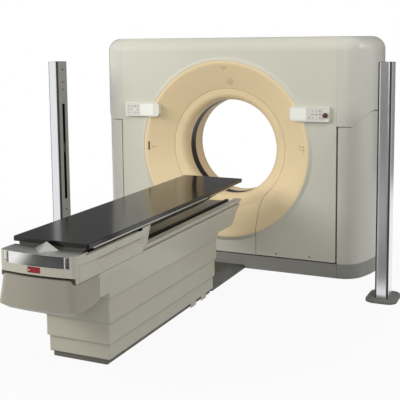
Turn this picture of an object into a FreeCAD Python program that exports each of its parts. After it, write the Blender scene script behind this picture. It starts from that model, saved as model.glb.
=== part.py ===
import FreeCAD
import Part
import math
import os

# A wide-bore computed tomography scanner with its patient couch and two
# laser alignment posts. Millimetres. The origin is on the floor under the
# isocentre, +X to the right seen from the couch, +Y from the couch into the
# bore, +Z up.

V = FreeCAD.Vector
X_WAY = V(1, 0, 0)
Y_WAY = V(0, 1, 0)
Z_WAY = V(0, 0, 1)

# ---- bore: the gantry is built outwards from this one known size ----
THROAT_R = 425.0          # clear radius of the bore
SEAM_R = THROAT_R + 102.0          # joint of the outer ring and the bore liner
RING_R = THROAT_R + 352.0
REAR_RING_R = THROAT_R + 265.0
DISC_IN_R = THROAT_R + 55.0
DISC_OUT_R = THROAT_R + 445.0
BEARING_MID_R = DISC_IN_R + 68.0
FRAME_IN_R = BEARING_MID_R + 52.0
FRAME_OUT_R = DISC_OUT_R + 30.0
FRAME_GAP = 108.0         # from the turning frame's ring to the centre's sides
FRAME_HEADROOM = 72.0

# ---- gantry, overall ----
PLINTH_H = 121.0
ISO_Z = PLINTH_H + FRAME_OUT_R + 22.0      # height of the bore axis and of the tilt axis
FRONT_Y = -296.0          # front cover plane
GANTRY_DEPTH = 960.0
GANTRY_TOP = ISO_Z + FRAME_OUT_R + FRAME_HEADROOM
CENTRE_HALF = FRAME_OUT_R + FRAME_GAP      # half width of the tilting centre section
LOBE_W = 272.0            # width of each rounded side
LOBE_HALF = CENTRE_HALF + LOBE_W
LOBE_CORNER = 190.0       # plan radius of the side covers' corners
LOBE_CORNER_X = CENTRE_HALF + 22.0
TOP_RADIUS = 115.0
COVER_WALL = 5.0
SEAM = 0.6                # gap between covers of one body
TILT_GAP = 12.0           # gap between fixed and tilting covers
TILT_SWEEP = FRAME_OUT_R + 50.0    # radius that the lower rear stays inside
REAR_Y = FRONT_Y + GANTRY_DEPTH
SPLIT_Y = 180.0           # front cover meets rear cover

# ---- plinth and side columns ----
PLINTH_WALL = 14.0
PLINTH_FLOOR = 40.0
PLINTH_GAP = 10.0
DOME_R = 350.0            # rounded top of each fixed side cover
SHOULDER_Z = ISO_Z + 229.0
DOME_GAP = 6.0
COLUMN_INSET = 8.0        # side cover stands inside the cap that sweeps it
SUPPORT_X = CENTRE_HALF + 77.0
SUPPORT_T = 70.0
SUPPORT_FOOT = 230.0
HUB_R = 118.0

# ---- trunnion and tilting frame ----
TRUNNION_R = 60.0
TRUNNION_FLANGE_R = 108.0
TRUNNION_FLANGE_T = 24.0
RUN_FIT = 0.05
FRAME_Y = 115.0
FRAME_T = 50.0
ARM_X = FRAME_OUT_R + 5.0
ARM_T = 55.0
RAIL_Z = FRAME_OUT_R - 260.0       # cross rails that carry the covers
RAIL_H = 60.0
RAIL_D = 40.0

# ---- bore covers ----
RING_PROUD = 15.0
LIP_W = 30.0
SEAM_Y = -182.0
THROAT_FRONT = -150.0
THROAT_REAR = 205.0
WINDOW_HALF = 52.0
LOW_PANEL_HALF = 302.0
LOW_SEAM_RUN = SEAM_R / math.sqrt(2.0) - LOW_PANEL_HALF    # from the seam's bend to the bore's joint
LOW_SEAM_Z = ISO_Z - SEAM_R * math.sqrt(2.0) + LOW_PANEL_HALF
LOW_SEAM_R = 3.1 * LOW_SEAM_RUN
SEAM_CUT = 2.4
LOW_PANEL_GAP = 2.0       # joint round the front low panel
RING_ROLL = 23.0          # flat rim of the ring, before it rolls inwards
RIM_DROP = 3.0            # ring's rim lies this far below the lip

# ---- rotor ----
DISC_Y = 60.0
DISC_T = 35.0
DISC_RIM = 16.0
HUB_T = 20.0
BEARING_Y = FRAME_Y
BEARING_T = FRAME_T
FOCUS_R = DISC_OUT_R - 225.0
DETECTOR_R = FOCUS_R + THROAT_R + 113.0
DETECTOR_FAN = 26.0
SLIP_RING_T = 20.0

# ---- control panels and marks ----
PANEL_X = CENTRE_HALF - 224.0
PANEL_Z = ISO_Z + 335.0
PANEL_W = 342.0
PANEL_H = 126.0
PANEL_T = 30.0
PANEL_SEAT = 0.2          # thin seat between a panel and the cover
ESTOP_R = 17.0

# ---- couch, heights and lengths ----
TOP_Z = ISO_Z - 206.0
TOP_T = 28.0
TOP_HALF = 267.0
FOOT_FRONT = -3056.0
TOP_FOOT = FOOT_FRONT + 151.0
TOP_HEAD = -521.0
CRADLE_HALF = 225.0
CRADLE_SET = 6.0          # cradle ends this far inside the top's foot end
CRADLE_DROP = 105.0
CRADLE_NOSE = TOP_HEAD - 244.0
CRADLE_TAPER = 640.0
DECK_Z = TOP_Z - 47.0
RIDGE_SET = 32.0          # the deck's ridge stands this far before the top
RIDGE_HALF = 86.0
RIDGE_H = 46.0
HANDLE_H = 70.0
HANDLE_HALF = 226.0       # the bright band ends before the foot's corners
HANDLE_BEAD = 34.0        # from the band's end to its upright bead
FOOT_HALF = 262.0
FOOT_CORNER = 28.0
BUMPER_CORNER = 64.0
FOOT_BOW = 15.0
FOOT_WALL = 5.5
LIP_TOP_Y = FOOT_FRONT + FOOT_BOW + 1.0      # the front band turns down at its corners
LIP_LOW_Y = FOOT_FRONT + FOOT_BOW + 13.0
SIDE_TOP = DECK_Z - 15.0  # upper edge of the side panels behind the foot
SIDE_END = FOOT_FRONT + 867.0      # here the side panels start to turn inwards
SIDE_TURN_R = 140.0
SIDE_TURN = 70.0          # width of the turned-in corner behind its bend
SIDE_LEAN = 0.46          # the turned-in end leans towards the head
SKIRT_END = FOOT_FRONT + 804.0
BAND_Z = DECK_Z - 122.0   # lower edge of the sliding front band
SLIDE_GAP = 3.5
GLIDE_GAP = 0.3

# ---- couch body ----
RAIL_TOP = TOP_Z - 174.0
RAIL_W = 58.0             # the body's upper edge is a flat this wide
GROOVE_D = 24.0           # depth of the parting groove under that edge
GUIDE_TOP = RAIL_TOP + 1.0         # running face of the guide rails
GUIDE_X = 150.0
BODY_HALF = 262.0
BODY_HEAD = -510.0        # set back so that the tilting gantry clears it
HEAD_KNEE = (BODY_HEAD - 138.0, RAIL_TOP - 91.0)
HEAD_CHIN = BODY_HEAD - 174.0
BODY_FOOT = FOOT_FRONT + 266.0
BODY_TOP = RAIL_TOP - 21.0
LEDGE_Z = RAIL_TOP - 33.0          # the body steps in here, under the panels
SKIRT_GAP = 2.5
SKIRT_Z = LEDGE_Z + SKIRT_GAP      # lower edge of the sliding side panels
BODY_BELLY = RAIL_TOP - 183.0      # underside of both overhangs
BODY_SEAM = BODY_BELLY - 39.0      # lower edge of the body cover
BODY_WALL = 5.0
BUMPER_BULGE = 24.0
BUMPER_LOW = BODY_BELLY - 33.0

# ---- pedestal ----
SHROUD_HALF = 244.0
SHROUD_FOOT = BODY_FOOT + 134.0
SHROUD_HEAD = -1020.0
SHROUD_STEP_X = 11.0
SHROUD_STEP_Y = 12.0
SHROUD_WALL = 2.5
SHROUD_CORNER = 9.0
SHROUD_GAP = 1.0          # body cover slides down over the widest shroud
STRIP_H = 34.0            # dark toe strip, set back under the shrouds
STRIP_INSET_X = 23.0
STRIP_INSET_Y = 10.0
BASE_T = STRIP_H + 8.0
SHROUD_LOW = (BODY_SEAM - 161.0, BODY_SEAM - 301.0, STRIP_H + 4.0)     # lower edges, top one first
SHROUD_HIGH = (BODY_SEAM + 71.0, BODY_SEAM - 79.0, BODY_SEAM - 205.0)  # upper edges
SHROUD_SHARE = (2.0 / 3.0, 1.0 / 3.0, 0.0)
LIFT_DOWN = 230.0
TAB_FOOT = 2.0            # tabs of the lowest shroud stop this far above the floor
COLUMN_FROM_END = 330.0
STAGE_REST = 0.5          # gap between two nested stages when right down
STAGE_R = (86.0, 78.0, 70.0, 62.0)     # telescoping lift column, outer first
STAGE_WALL = 5.0
STAGE_FIT = 0.1
STAGE_FIRST = 200.0       # length of the fixed stage
ARM_T2 = 14.0             # plate that carries a shroud on its lift stage
ARM_GAP = 10.0
DUCT_H = 122.0
DUCT_HALF = 200.0
DUCT_NECK = 184.0         # half width where the shrouds pass over it
DUCT_GAP = 3.0
DUCT_SEAT = 0.3
DUCT_SHOULDER = FRONT_Y - 314.0

# ---- laser posts ----
POST_LEFT = -1451.5
POST_RIGHT = 1490.0
POST_Y = -669.0
POST_W = 104.0
POST_D = 162.0
POST_H = 1818.0
POST_WALL = 6.0
POST_CORNER = 24.0
POST_FOOT_T = 26.0
SLOT_W = 40.0
SLOT_LOW = 575.0
SLOT_HIGH = 1440.0
PORT_R = 9.0
POST_PORTS = (SLOT_LOW - 99.0, SLOT_HIGH + 127.0, SLOT_HIGH + 195.0, SLOT_HIGH + 307.0)
BOLT_R = 7.0
LASER_HALF = 45.0

HUGE = 4000.0


# ---------------------------------------------------------------- shapes

def box(x0, x1, y0, y1, z0, z1):
    return Part.makeBox(x1 - x0, y1 - y0, z1 - z0, V(x0, y0, z0))


def rod_x(radius, x0, x1, y, z):
    return Part.makeCylinder(radius, x1 - x0, V(x0, y, z), X_WAY)


def rod_y(radius, y0, y1, x=0.0, z=ISO_Z):
    return Part.makeCylinder(radius, y1 - y0, V(x, y0, z), Y_WAY)


def rod_z(radius, z0, z1, x, y):
    return Part.makeCylinder(radius, z1 - z0, V(x, y, z0), Z_WAY)


def mirrored(shape):
    return shape.mirror(V(0, 0, 0), X_WAY)


def pair(shape):
    """The same solid on both sides of the middle plane."""
    return Part.makeCompound([mirrored(shape), shape])


def fused(shapes):
    whole = shapes[0]
    if len(shapes) > 1:
        whole = whole.fuse(shapes[1:])
    return whole.removeSplitter()


def unit(a, b):
    length = math.hypot(b[0] - a[0], b[1] - a[1])
    return ((b[0] - a[0]) / length, (b[1] - a[1]) / length)


def corner_arc(before, here, after):
    """Start, middle and end of the arc that rounds one corner."""
    radius = here[2] if len(here) > 2 else 0.0
    if radius <= 0.0:
        return here[:2], None, here[:2]
    back = unit(here, before)
    on = unit(here, after)
    half = math.acos(max(-1.0, min(1.0, back[0] * on[0] + back[1] * on[1]))) / 2.0
    reach = radius / math.tan(half)
    way = unit((0.0, 0.0), (back[0] + on[0], back[1] + on[1]))
    depth = radius / math.sin(half) - radius
    start = (here[0] + back[0] * reach, here[1] + back[1] * reach)
    middle = (here[0] + way[0] * depth, here[1] + way[1] * depth)
    end = (here[0] + on[0] * reach, here[1] + on[1] * reach)
    return start, middle, end


def outline(corners, place):
    """Closed wire through (a, b) or (a, b, radius) corners."""
    count = len(corners)
    arcs = [corner_arc(corners[i - 1], corners[i], corners[(i + 1) % count]) for i in range(count)]
    edges = []
    for i, (start, middle, end) in enumerate(arcs):
        if middle:
            edges.append(Part.Arc(place(*start), place(*middle), place(*end)).toShape())
        following = arcs[(i + 1) % count][0]
        if math.hypot(following[0] - end[0], following[1] - end[1]) > 1e-6:
            edges.append(Part.LineSegment(place(*end), place(*following)).toShape())
    return Part.Wire(edges)


def prism_x(corners, x0, x1):
    """(y, z) outline pushed along X."""
    face = Part.Face(outline(corners, lambda y, z: V(x0, y, z)))
    return face.extrude(V(x1 - x0, 0, 0))


def prism_y(corners, y0, y1):
    """(x, z) outline pushed along Y."""
    face = Part.Face(outline(corners, lambda x, z: V(x, y0, z)))
    return face.extrude(V(0, y1 - y0, 0))


def prism_z(corners, z0, z1):
    """(x, y) outline pushed along Z."""
    face = Part.Face(outline(corners, lambda x, y: V(x, y, z0)))
    return face.extrude(V(0, 0, z1 - z0))


def turned(corners):
    """(radius, y) outline turned about the bore axis."""
    face = Part.Face(outline(corners, lambda r, y: V(r, y, ISO_Z)))
    return face.revolve(V(0, 0, ISO_Z), Y_WAY, 360)


def ring(r0, r1, y0, y1):
    return turned([(r0, y0), (r1, y0), (r1, y1), (r0, y1)])


def sideways(path, wall):
    """The open path moved by wall to the left of its direction."""
    lines = []
    for here, there in zip(path, path[1:]):
        u = unit(here, there)
        lines.append((here[0] - u[1] * wall, here[1] + u[0] * wall, u))
    moved = [lines[0][:2]]
    for i in range(1, len(lines)):
        x0, y0, u = lines[i - 1]
        x1, y1, w = lines[i]
        cross = u[0] * w[1] - u[1] * w[0]
        along = ((x1 - x0) * w[1] - (y1 - y0) * w[0]) / cross
        radius = path[i][2] if len(path[i]) > 2 else 0.0
        if radius:
            radius = max(radius - wall * math.copysign(1.0, cross), 0.0)
        moved.append((x0 + u[0] * along, y0 + u[1] * along, radius))
    x0, y0, u = lines[-1]
    run = math.hypot(path[-1][0] - path[-2][0], path[-1][1] - path[-2][1])
    moved.append((x0 + u[0] * run, y0 + u[1] * run))
    return moved


def band(path, wall):
    """Closed outline of a wall that follows an open path."""
    return list(path) + sideways(path, wall)[::-1]


# ------------------------------------------------------- gantry, covers

def lobe_plan(inset, inner_x, z):
    """Plan wire of one rounded side of the gantry, moved in by inset."""
    half_depth = GANTRY_DEPTH / 2.0
    middle = FRONT_Y + half_depth
    h = half_depth - LOBE_CORNER
    k = LOBE_HALF - LOBE_CORNER_X - LOBE_CORNER
    side_x = LOBE_CORNER_X - (h * h - k * k) / (2.0 * k)
    side_r = LOBE_HALF - side_x - inset
    corner_r = LOBE_CORNER - inset
    lean = math.atan2(h, LOBE_CORNER_X - side_x)

    def on_corner(sign, angle):
        return V(LOBE_CORNER_X + corner_r * math.sin(angle),
                 middle + sign * (h + corner_r * math.cos(angle)), z)

    join = math.pi / 2.0 - lean
    front = V(inner_x, middle - half_depth + inset, z)
    rear = V(inner_x, middle + half_depth - inset, z)
    edges = [
        Part.LineSegment(front, on_corner(-1, 0.0)).toShape(),
        Part.Arc(on_corner(-1, 0.0), on_corner(-1, join / 2.0), on_corner(-1, join)).toShape(),
        Part.Arc(on_corner(-1, join), V(side_x + side_r, middle, z), on_corner(1, join)).toShape(),
        Part.Arc(on_corner(1, join), on_corner(1, join / 2.0), on_corner(1, 0.0)).toShape(),
        Part.LineSegment(on_corner(1, 0.0), rear).toShape(),
        Part.LineSegment(rear, front).toShape(),
    ]
    return Part.Wire(edges)


def lobe(inset, inner_x, z0, z1, top_radius=0.0):
    """Solid of one rounded side, with its top edge rolled over."""
    solid = Part.Face(lobe_plan(inset, inner_x, z0)).extrude(V(0, 0, z1 - z0))
    if not top_radius:
        return solid
    rolled = []
    for edge in solid.Edges:
        limits = edge.BoundBox
        level = limits.ZMin > z1 - 1e-3
        if level and limits.XMax > inner_x + 1.0:
            rolled.append(edge)
    return solid.makeFillet(top_radius, rolled)


def column_side(grow):
    """Side outline of a fixed column: flat shoulders and a round top."""
    low = box(0, HUGE, FRONT_Y - HUGE, REAR_Y + HUGE, -HUGE, SHOULDER_Z + grow)
    dome = rod_x(DOME_R + grow, 0, HUGE, 0.0, ISO_Z)
    return low.fuse(dome)


def side_cover():
    """Fixed shell over one tilt support, open underneath."""
    inner_x = CENTRE_HALF + TILT_GAP
    high = ISO_Z + DOME_R + HUB_R
    outside = lobe(COLUMN_INSET, inner_x, PLINTH_H, high).common(column_side(0.0))
    inset = COLUMN_INSET + COVER_WALL
    inside = lobe(inset, inner_x + COVER_WALL, PLINTH_H - COVER_WALL, high)
    shell = outside.cut(inside.common(column_side(-COVER_WALL)))
    way = rod_x(TRUNNION_R + TILT_GAP, CENTRE_HALF, inner_x + 2 * COVER_WALL, 0.0, ISO_Z)
    return shell.cut(way)


def corner_cap():
    """Tilting shell that closes the gantry above one fixed column."""
    low = SHOULDER_Z - DOME_R
    outside = lobe(0.0, CENTRE_HALF + SEAM, low, GANTRY_TOP, TOP_RADIUS)
    inside = lobe(COVER_WALL, CENTRE_HALF, low - 1, GANTRY_TOP - COVER_WALL, TOP_RADIUS - COVER_WALL)
    return outside.cut(inside).cut(column_side(DOME_GAP))


def centre_block(inset):
    """Tilting centre section as a solid; its low rear keeps a round sweep."""
    low = PLINTH_H + PLINTH_GAP - (COVER_WALL * 4 if inset else 0.0)
    half = CENTRE_HALF - inset
    top = GANTRY_TOP - inset
    corners = [
        (FRONT_Y + inset, low),
        (FRONT_Y + inset, top, TOP_RADIUS - inset),
        (REAR_Y - inset, top, TOP_RADIUS - inset),
        (REAR_Y - inset, low),
    ]
    block = prism_x(corners, -half, half)
    radius = TILT_SWEEP - inset
    reach = math.sqrt(radius ** 2 - (REAR_Y - inset) ** 2)
    low_rear = box(-half, half, 0.0, REAR_Y, low, ISO_Z - reach)
    return block.cut(low_rear.cut(rod_x(radius, -half - 1, half + 1, 0.0, ISO_Z)))


def centre_shell():
    shell = centre_block(0.0).cut(centre_block(COVER_WALL))
    return shell.cut(rod_x(TRUNNION_R + TILT_GAP, -CENTRE_HALF - 1, CENTRE_HALF + 1, 0.0, ISO_Z))


def ring_lip(radius, face_y, way):
    """Raised conical rim of a cover around its round opening."""
    inner = radius + SEAM
    return turned([
        (radius + LIP_W + 2, face_y),
        (inner, face_y + way * RING_PROUD),
        (inner, face_y + way * (RING_PROUD - COVER_WALL)),
        (radius + LIP_W, face_y - way * COVER_WALL),
        (radius + LIP_W + 2, face_y - way * COVER_WALL),
    ])


def front_half():
    """Front cover with its opening and rim, before the low panel is parted."""
    shell = centre_shell().common(box(-HUGE, HUGE, -HUGE, SPLIT_Y - SEAM, -HUGE, HUGE))
    shell = shell.cut(rod_y(RING_R + LIP_W, FRONT_Y - 1, FRONT_Y + 2 * COVER_WALL))
    return shell.fuse(ring_lip(RING_R, FRONT_Y, -1)).removeSplitter()


def low_panel_zone(gap):
    half = LOW_PANEL_HALF + gap
    return box(-half, half, FRONT_Y - 2 * RING_PROUD, FRONT_Y + 3 * COVER_WALL, 0, ISO_Z - RING_R / 2)


def front_covers():
    whole = front_half()
    panel = whole.common(low_panel_zone(0.0))
    cover = whole.cut(low_panel_zone(LOW_PANEL_GAP))
    return cover, panel


def rear_cover():
    shell = centre_shell().common(box(-HUGE, HUGE, SPLIT_Y, HUGE, -HUGE, HUGE))
    shell = shell.cut(rod_y(REAR_RING_R + LIP_W, REAR_Y - 2 * COVER_WALL, REAR_Y + 1))
    return shell.fuse(ring_lip(REAR_RING_R, REAR_Y, 1)).removeSplitter()


# --------------------------------------------------------- gantry, bore

def ring_path():
    rim_y = FRONT_Y - RING_PROUD + RIM_DROP
    return [(SEAM_R + SEAM, SEAM_Y), (RING_R - RING_ROLL, rim_y, 60.0), (RING_R, rim_y)]


def low_seam_line(side, x):
    """Run of the low panel's seam: upright, then bending to meet the bore's joint."""
    return [(side * x, LOW_SEAM_Z - SEAM_R), (side * x, LOW_SEAM_Z, LOW_SEAM_R),
            (side * (x + LOW_SEAM_RUN), LOW_SEAM_Z + LOW_SEAM_RUN)]


def ring_seams(wall):
    """Fine grooves in the ring: along the bore's joint, then down to the low panel."""
    skin = turned(band(ring_path(), wall))
    reach = SEAM_R + 2 * SEAM_CUT
    above = prism_y([(0, ISO_Z), (reach, ISO_Z - reach), (reach, ISO_Z + reach),
                     (-reach, ISO_Z + reach), (-reach, ISO_Z - reach)], -HUGE / 8, 0)
    strips = [rod_y(SEAM_R + SEAM + SEAM_CUT, -HUGE / 8, 0).common(above)]
    for side in (-1, 1):
        inner = low_seam_line(side, LOW_PANEL_HALF)
        outer = low_seam_line(side, LOW_PANEL_HALF + SEAM_CUT)
        strips.append(prism_y(inner + outer[::-1], -HUGE / 8, 0))
    return [skin.common(strip) for strip in strips]


def front_ring():
    """Shallow funnel between the front cover and the bore liner."""
    skin = turned(band(ring_path(), COVER_WALL))
    for groove in ring_seams(COVER_WALL / 2):
        skin = skin.cut(groove)
    return skin


def front_liner():
    """Steeper inner funnel that rolls over into the throat."""
    path = [
        (THROAT_R, -WINDOW_HALF),
        (THROAT_R, THROAT_FRONT, 85.0),
        (SEAM_R, SEAM_Y),
    ]
    return turned(band(path, COVER_WALL))


def scan_window():
    return ring(THROAT_R + 1.0, THROAT_R + 4.0, -WINDOW_HALF, WINDOW_HALF)


def rear_funnel():
    rim_y = REAR_Y + RING_PROUD - RIM_DROP
    path = [
        (THROAT_R, WINDOW_HALF),
        (THROAT_R, THROAT_REAR, 150.0),
        (REAR_RING_R - RING_ROLL, rim_y, 30.0),
        (REAR_RING_R, rim_y),
    ]
    return turned(band(path, -COVER_WALL))


def laser_apertures():
    """Window strips of the built-in alignment lasers on the front ring."""
    dot = rod_y(18.0, -HUGE / 8, 0.0, 20.0, ISO_Z + SEAM_R + 65.0)
    high = ISO_Z + RING_R - 50.0
    wedge = prism_y([(-40.0, high), (40.0, high), (0.0, high - 37.0)], -HUGE / 8, 0)
    left = box(37.0 - RING_R, 49.0 - RING_R, -HUGE / 8, 0.0, ISO_Z - 36.0, ISO_Z + 40.0)
    right = box(RING_R - 87.0, RING_R - 42.0, -HUGE / 8, 0.0, ISO_Z + 18.0, ISO_Z + 28.0)
    skin = turned(band(ring_path(), -1.2))
    lenses = Part.makeCompound([skin.common(s).Solids[0] for s in (dot, wedge, left, right)])
    lenses.translate(V(0, -PANEL_SEAT, 0))
    return lenses


# -------------------------------------------------------- gantry, frame

def gantry_base():
    """Hollow plinth: a floor plate with a skirt round the gantry's plan."""
    def plan(inset, z0, z1):
        right = lobe(inset, 0.0, z0, z1)
        return right.fuse(mirrored(right)).removeSplitter()

    skirt = plan(0.0, 0.0, PLINTH_H).cut(plan(PLINTH_WALL, PLINTH_FLOOR, PLINTH_H + 1))
    return skirt


def tilt_support():
    """Upright that carries one trunnion, with its bore and window."""
    x0 = SUPPORT_X - SUPPORT_T / 2
    x1 = SUPPORT_X + SUPPORT_T / 2
    leg = [
        (-SUPPORT_FOOT, PLINTH_FLOOR),
        (-HUB_R, ISO_Z),
        (HUB_R, ISO_Z),
        (SUPPORT_FOOT, PLINTH_FLOOR),
    ]
    window = [
        (-SUPPORT_FOOT + 90, PLINTH_FLOOR + 60, 20),
        (-HUB_R + 45, ISO_Z - 190, 30),
        (HUB_R - 45, ISO_Z - 190, 30),
        (SUPPORT_FOOT - 90, PLINTH_FLOOR + 60, 20),
    ]
    body = prism_x(leg, x0, x1).fuse(rod_x(HUB_R, x0, x1, 0.0, ISO_Z))
    body = body.cut(prism_x(window, x0 - 1, x1 + 1))
    return body.cut(rod_x(TRUNNION_R + RUN_FIT, x0 - 1, x1 + 1, 0.0, ISO_Z)).removeSplitter()


def tilt_drive():
    """Gear motor on the right support that turns the trunnion."""
    x0 = SUPPORT_X + SUPPORT_T / 2
    case = rod_x(HUB_R - 8, x0, x0 + 60, 0.0, ISO_Z)
    neck = box(x0, x0 + 60, -46, 46, ISO_Z - 250, ISO_Z)
    motor = rod_z(44, ISO_Z - 430, ISO_Z - 250, x0 + 48, 0.0)
    body = fused([case, neck, motor])
    return body.cut(rod_x(TRUNNION_R + RUN_FIT, x0 - 1, x0 + 45, 0.0, ISO_Z))


def trunnion():
    """Flanged stub shaft between the tilting frame and its support."""
    x0 = ARM_X + ARM_T
    x1 = SUPPORT_X + SUPPORT_T / 2 + 40
    flange = rod_x(TRUNNION_FLANGE_R, x0, x0 + TRUNNION_FLANGE_T, 0.0, ISO_Z)
    return flange.fuse(rod_x(TRUNNION_R, x0, x1, 0.0, ISO_Z)).removeSplitter()


def tilt_frame():
    """Ring that carries the main bearing, with an arm to each trunnion."""
    rear = FRAME_Y + FRAME_T
    plate = ring(FRAME_IN_R, FRAME_OUT_R, FRAME_Y, rear)
    arm = box(ARM_X, ARM_X + ARM_T, -TRUNNION_FLANGE_R, rear, ISO_Z - 130, ISO_Z + 130)
    bridge = box(FRAME_OUT_R - 80, ARM_X + ARM_T, FRAME_Y, rear, ISO_Z - 130, ISO_Z + 130)
    side = arm.fuse(bridge)
    reach = CENTRE_HALF - COVER_WALL
    rails = [box(-reach, reach, rear, rear + RAIL_D, z - RAIL_H / 2, z + RAIL_H / 2)
             for z in (ISO_Z - RAIL_Z, ISO_Z + RAIL_Z)]
    cuts = []
    for i in range(10):
        angle = math.radians(18 + 36 * i)
        middle = (FRAME_IN_R + FRAME_OUT_R) / 2.0
        cuts.append(rod_y(75, FRAME_Y - 1, rear + 1, middle * math.cos(angle), ISO_Z + middle * math.sin(angle)))
    plate = plate.cut(Part.makeCompound(cuts))
    return fused([plate, side, mirrored(side)] + rails)


def bearing_outer():
    return ring(BEARING_MID_R + RUN_FIT, FRAME_IN_R, BEARING_Y, BEARING_Y + BEARING_T)


def bearing_inner():
    return ring(DISC_IN_R + HUB_T, BEARING_MID_R, BEARING_Y, BEARING_Y + BEARING_T)


def rotor_drum():
    """Rotating disc with its hub and an outer stiffening rim."""
    rear = DISC_Y + DISC_T
    hub_rear = BEARING_Y + BEARING_T + SLIP_RING_T + 2
    plate = ring(DISC_IN_R, DISC_OUT_R, DISC_Y, rear)
    hub = ring(DISC_IN_R, DISC_IN_R + HUB_T, rear, hub_rear)
    seat = ring(DISC_IN_R + HUB_T, DISC_IN_R + HUB_T + 25, rear, BEARING_Y)
    rim = ring(DISC_OUT_R - DISC_RIM, DISC_OUT_R, -110, DISC_Y)
    return fused([plate, hub, seat, rim])


def slip_ring():
    y0 = BEARING_Y + BEARING_T + 2
    return ring(DISC_IN_R + HUB_T, DISC_IN_R + HUB_T + 80, y0, y0 + SLIP_RING_T)


def xray_tube():
    """Tube housing along the bore axis with its end caps and saddle."""
    middle = ISO_Z + FOCUS_R + 55
    tank = rod_y(84, -140, 40, 0.0, middle)
    nose = rod_y(60, -150, -140, 0.0, middle)
    saddle = box(-70, 70, 20, DISC_Y, middle - 60, middle + 60)
    return fused([tank, nose, saddle])


def collimator():
    high = ISO_Z + FOCUS_R - 37
    low = ISO_Z + THROAT_R + 80
    return prism_y([(-58, high), (58, high), (92, low), (-92, low)], -70, DISC_Y)


def detector_arc():
    """Curved detector opposite the tube, centred on the focal spot."""
    focus_z = ISO_Z + FOCUS_R

    def at(radius, degrees):
        angle = math.radians(degrees)
        return V(radius * math.sin(angle), -75, focus_z - radius * math.cos(angle))

    near = DETECTOR_R
    far = DETECTOR_R + 62
    fan = DETECTOR_FAN
    edges = [
        Part.Arc(at(near, -fan), at(near, 0), at(near, fan)).toShape(),
        Part.LineSegment(at(near, fan), at(far, fan)).toShape(),
        Part.Arc(at(far, fan), at(far, 0), at(far, -fan)).toShape(),
        Part.LineSegment(at(far, -fan), at(near, -fan)).toShape(),
    ]
    return Part.Face(Part.Wire(edges)).extrude(V(0, DISC_Y + 75, 0))


def voltage_tank():
    """High voltage generator at one side of the drum, with a ribbed lid."""
    x0 = DISC_OUT_R - 295
    x1 = DISC_OUT_R - 80
    case = prism_y([(x0, ISO_Z - 150, 14), (x1, ISO_Z - 150, 14), (x1, ISO_Z + 150, 14),
                    (x0, ISO_Z + 150, 14)], -96, DISC_Y)
    ribs = [box(x0 + 25 + 34 * i, x0 + 37 + 34 * i, -110, -96, ISO_Z - 120, ISO_Z + 120) for i in range(6)]
    return fused([case] + ribs)


def cooler():
    """Oil cooler opposite the generator: a fan box with cooling fins."""
    x0 = 80 - DISC_OUT_R
    x1 = 270 - DISC_OUT_R
    case = box(x0, x1, -60, DISC_Y, ISO_Z - 140, ISO_Z + 140)
    fins = [box(x0 + 10, x1 - 10, -105, -60, ISO_Z - 128 + 25 * i, ISO_Z - 122 + 25 * i) for i in range(11)]
    return fused([case] + fins)


def counterweights():
    """Curved balance weights low on the drum, either side of the detector."""
    def weight(sign):
        def at(radius, degrees):
            angle = math.radians(degrees)
            return V(sign * radius * math.sin(angle), -40, ISO_Z - radius * math.cos(angle))

        near = DISC_OUT_R - 260
        far = DISC_OUT_R - 30
        edges = [
            Part.Arc(at(near, 56), at(near, 64), at(near, 72)).toShape(),
            Part.LineSegment(at(near, 72), at(far, 72)).toShape(),
            Part.Arc(at(far, 72), at(far, 64), at(far, 56)).toShape(),
            Part.LineSegment(at(far, 56), at(near, 56)).toShape(),
        ]
        return Part.Face(Part.Wire(edges)).extrude(V(0, DISC_Y + 40, 0))

    return Part.makeCompound([weight(-1), weight(1)])


# ----------------------------------------------------- control panels

def behind_front():
    """All that lies behind the front of the cover and its ring."""
    lip_y = FRONT_Y - RING_PROUD
    path = ring_path() + [
        (RING_R, lip_y),
        (RING_R + SEAM, lip_y),
        (RING_R + LIP_W + 2, FRONT_Y),
        (2 * RING_R, FRONT_Y),
        (2 * RING_R, 0.0),
        (SEAM_R + SEAM, 0.0),
    ]
    solid = turned(path)
    solid.translate(V(0, -PANEL_SEAT, 0))
    return solid


def control_panel(side):
    """Raised housing beside the bore, rounded at its bore end on the left."""
    x0 = side * PANEL_X - PANEL_W / 2
    x1 = side * PANEL_X + PANEL_W / 2
    z0 = PANEL_Z - PANEL_H / 2
    z1 = PANEL_Z + PANEL_H / 2
    inner = PANEL_H * 0.28
    left_r = 9.0 if side < 0 else inner
    right_r = inner if side < 0 else 9.0
    body = prism_y([(x0, z0, left_r), (x1, z0, right_r), (x1, z1, right_r), (x0, z1, left_r)],
                   FRONT_Y - PANEL_T, SEAM_Y)
    tray = box(x0 + 12, x1 - 42 if side < 0 else x1 - 12, FRONT_Y - PANEL_T - 1,
               FRONT_Y - PANEL_T + 2.2, z0 + 12, z1 - 12)
    body = body.cut(tray)
    if side > 0:
        body = body.cut(rod_y(ESTOP_R + 0.4, FRONT_Y - PANEL_T - 1, FRONT_Y - 6, *estop_place()))
    return body.cut(behind_front())


def estop_place():
    return PANEL_X + PANEL_W / 2 - 30.0, PANEL_Z - 6.0


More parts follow.
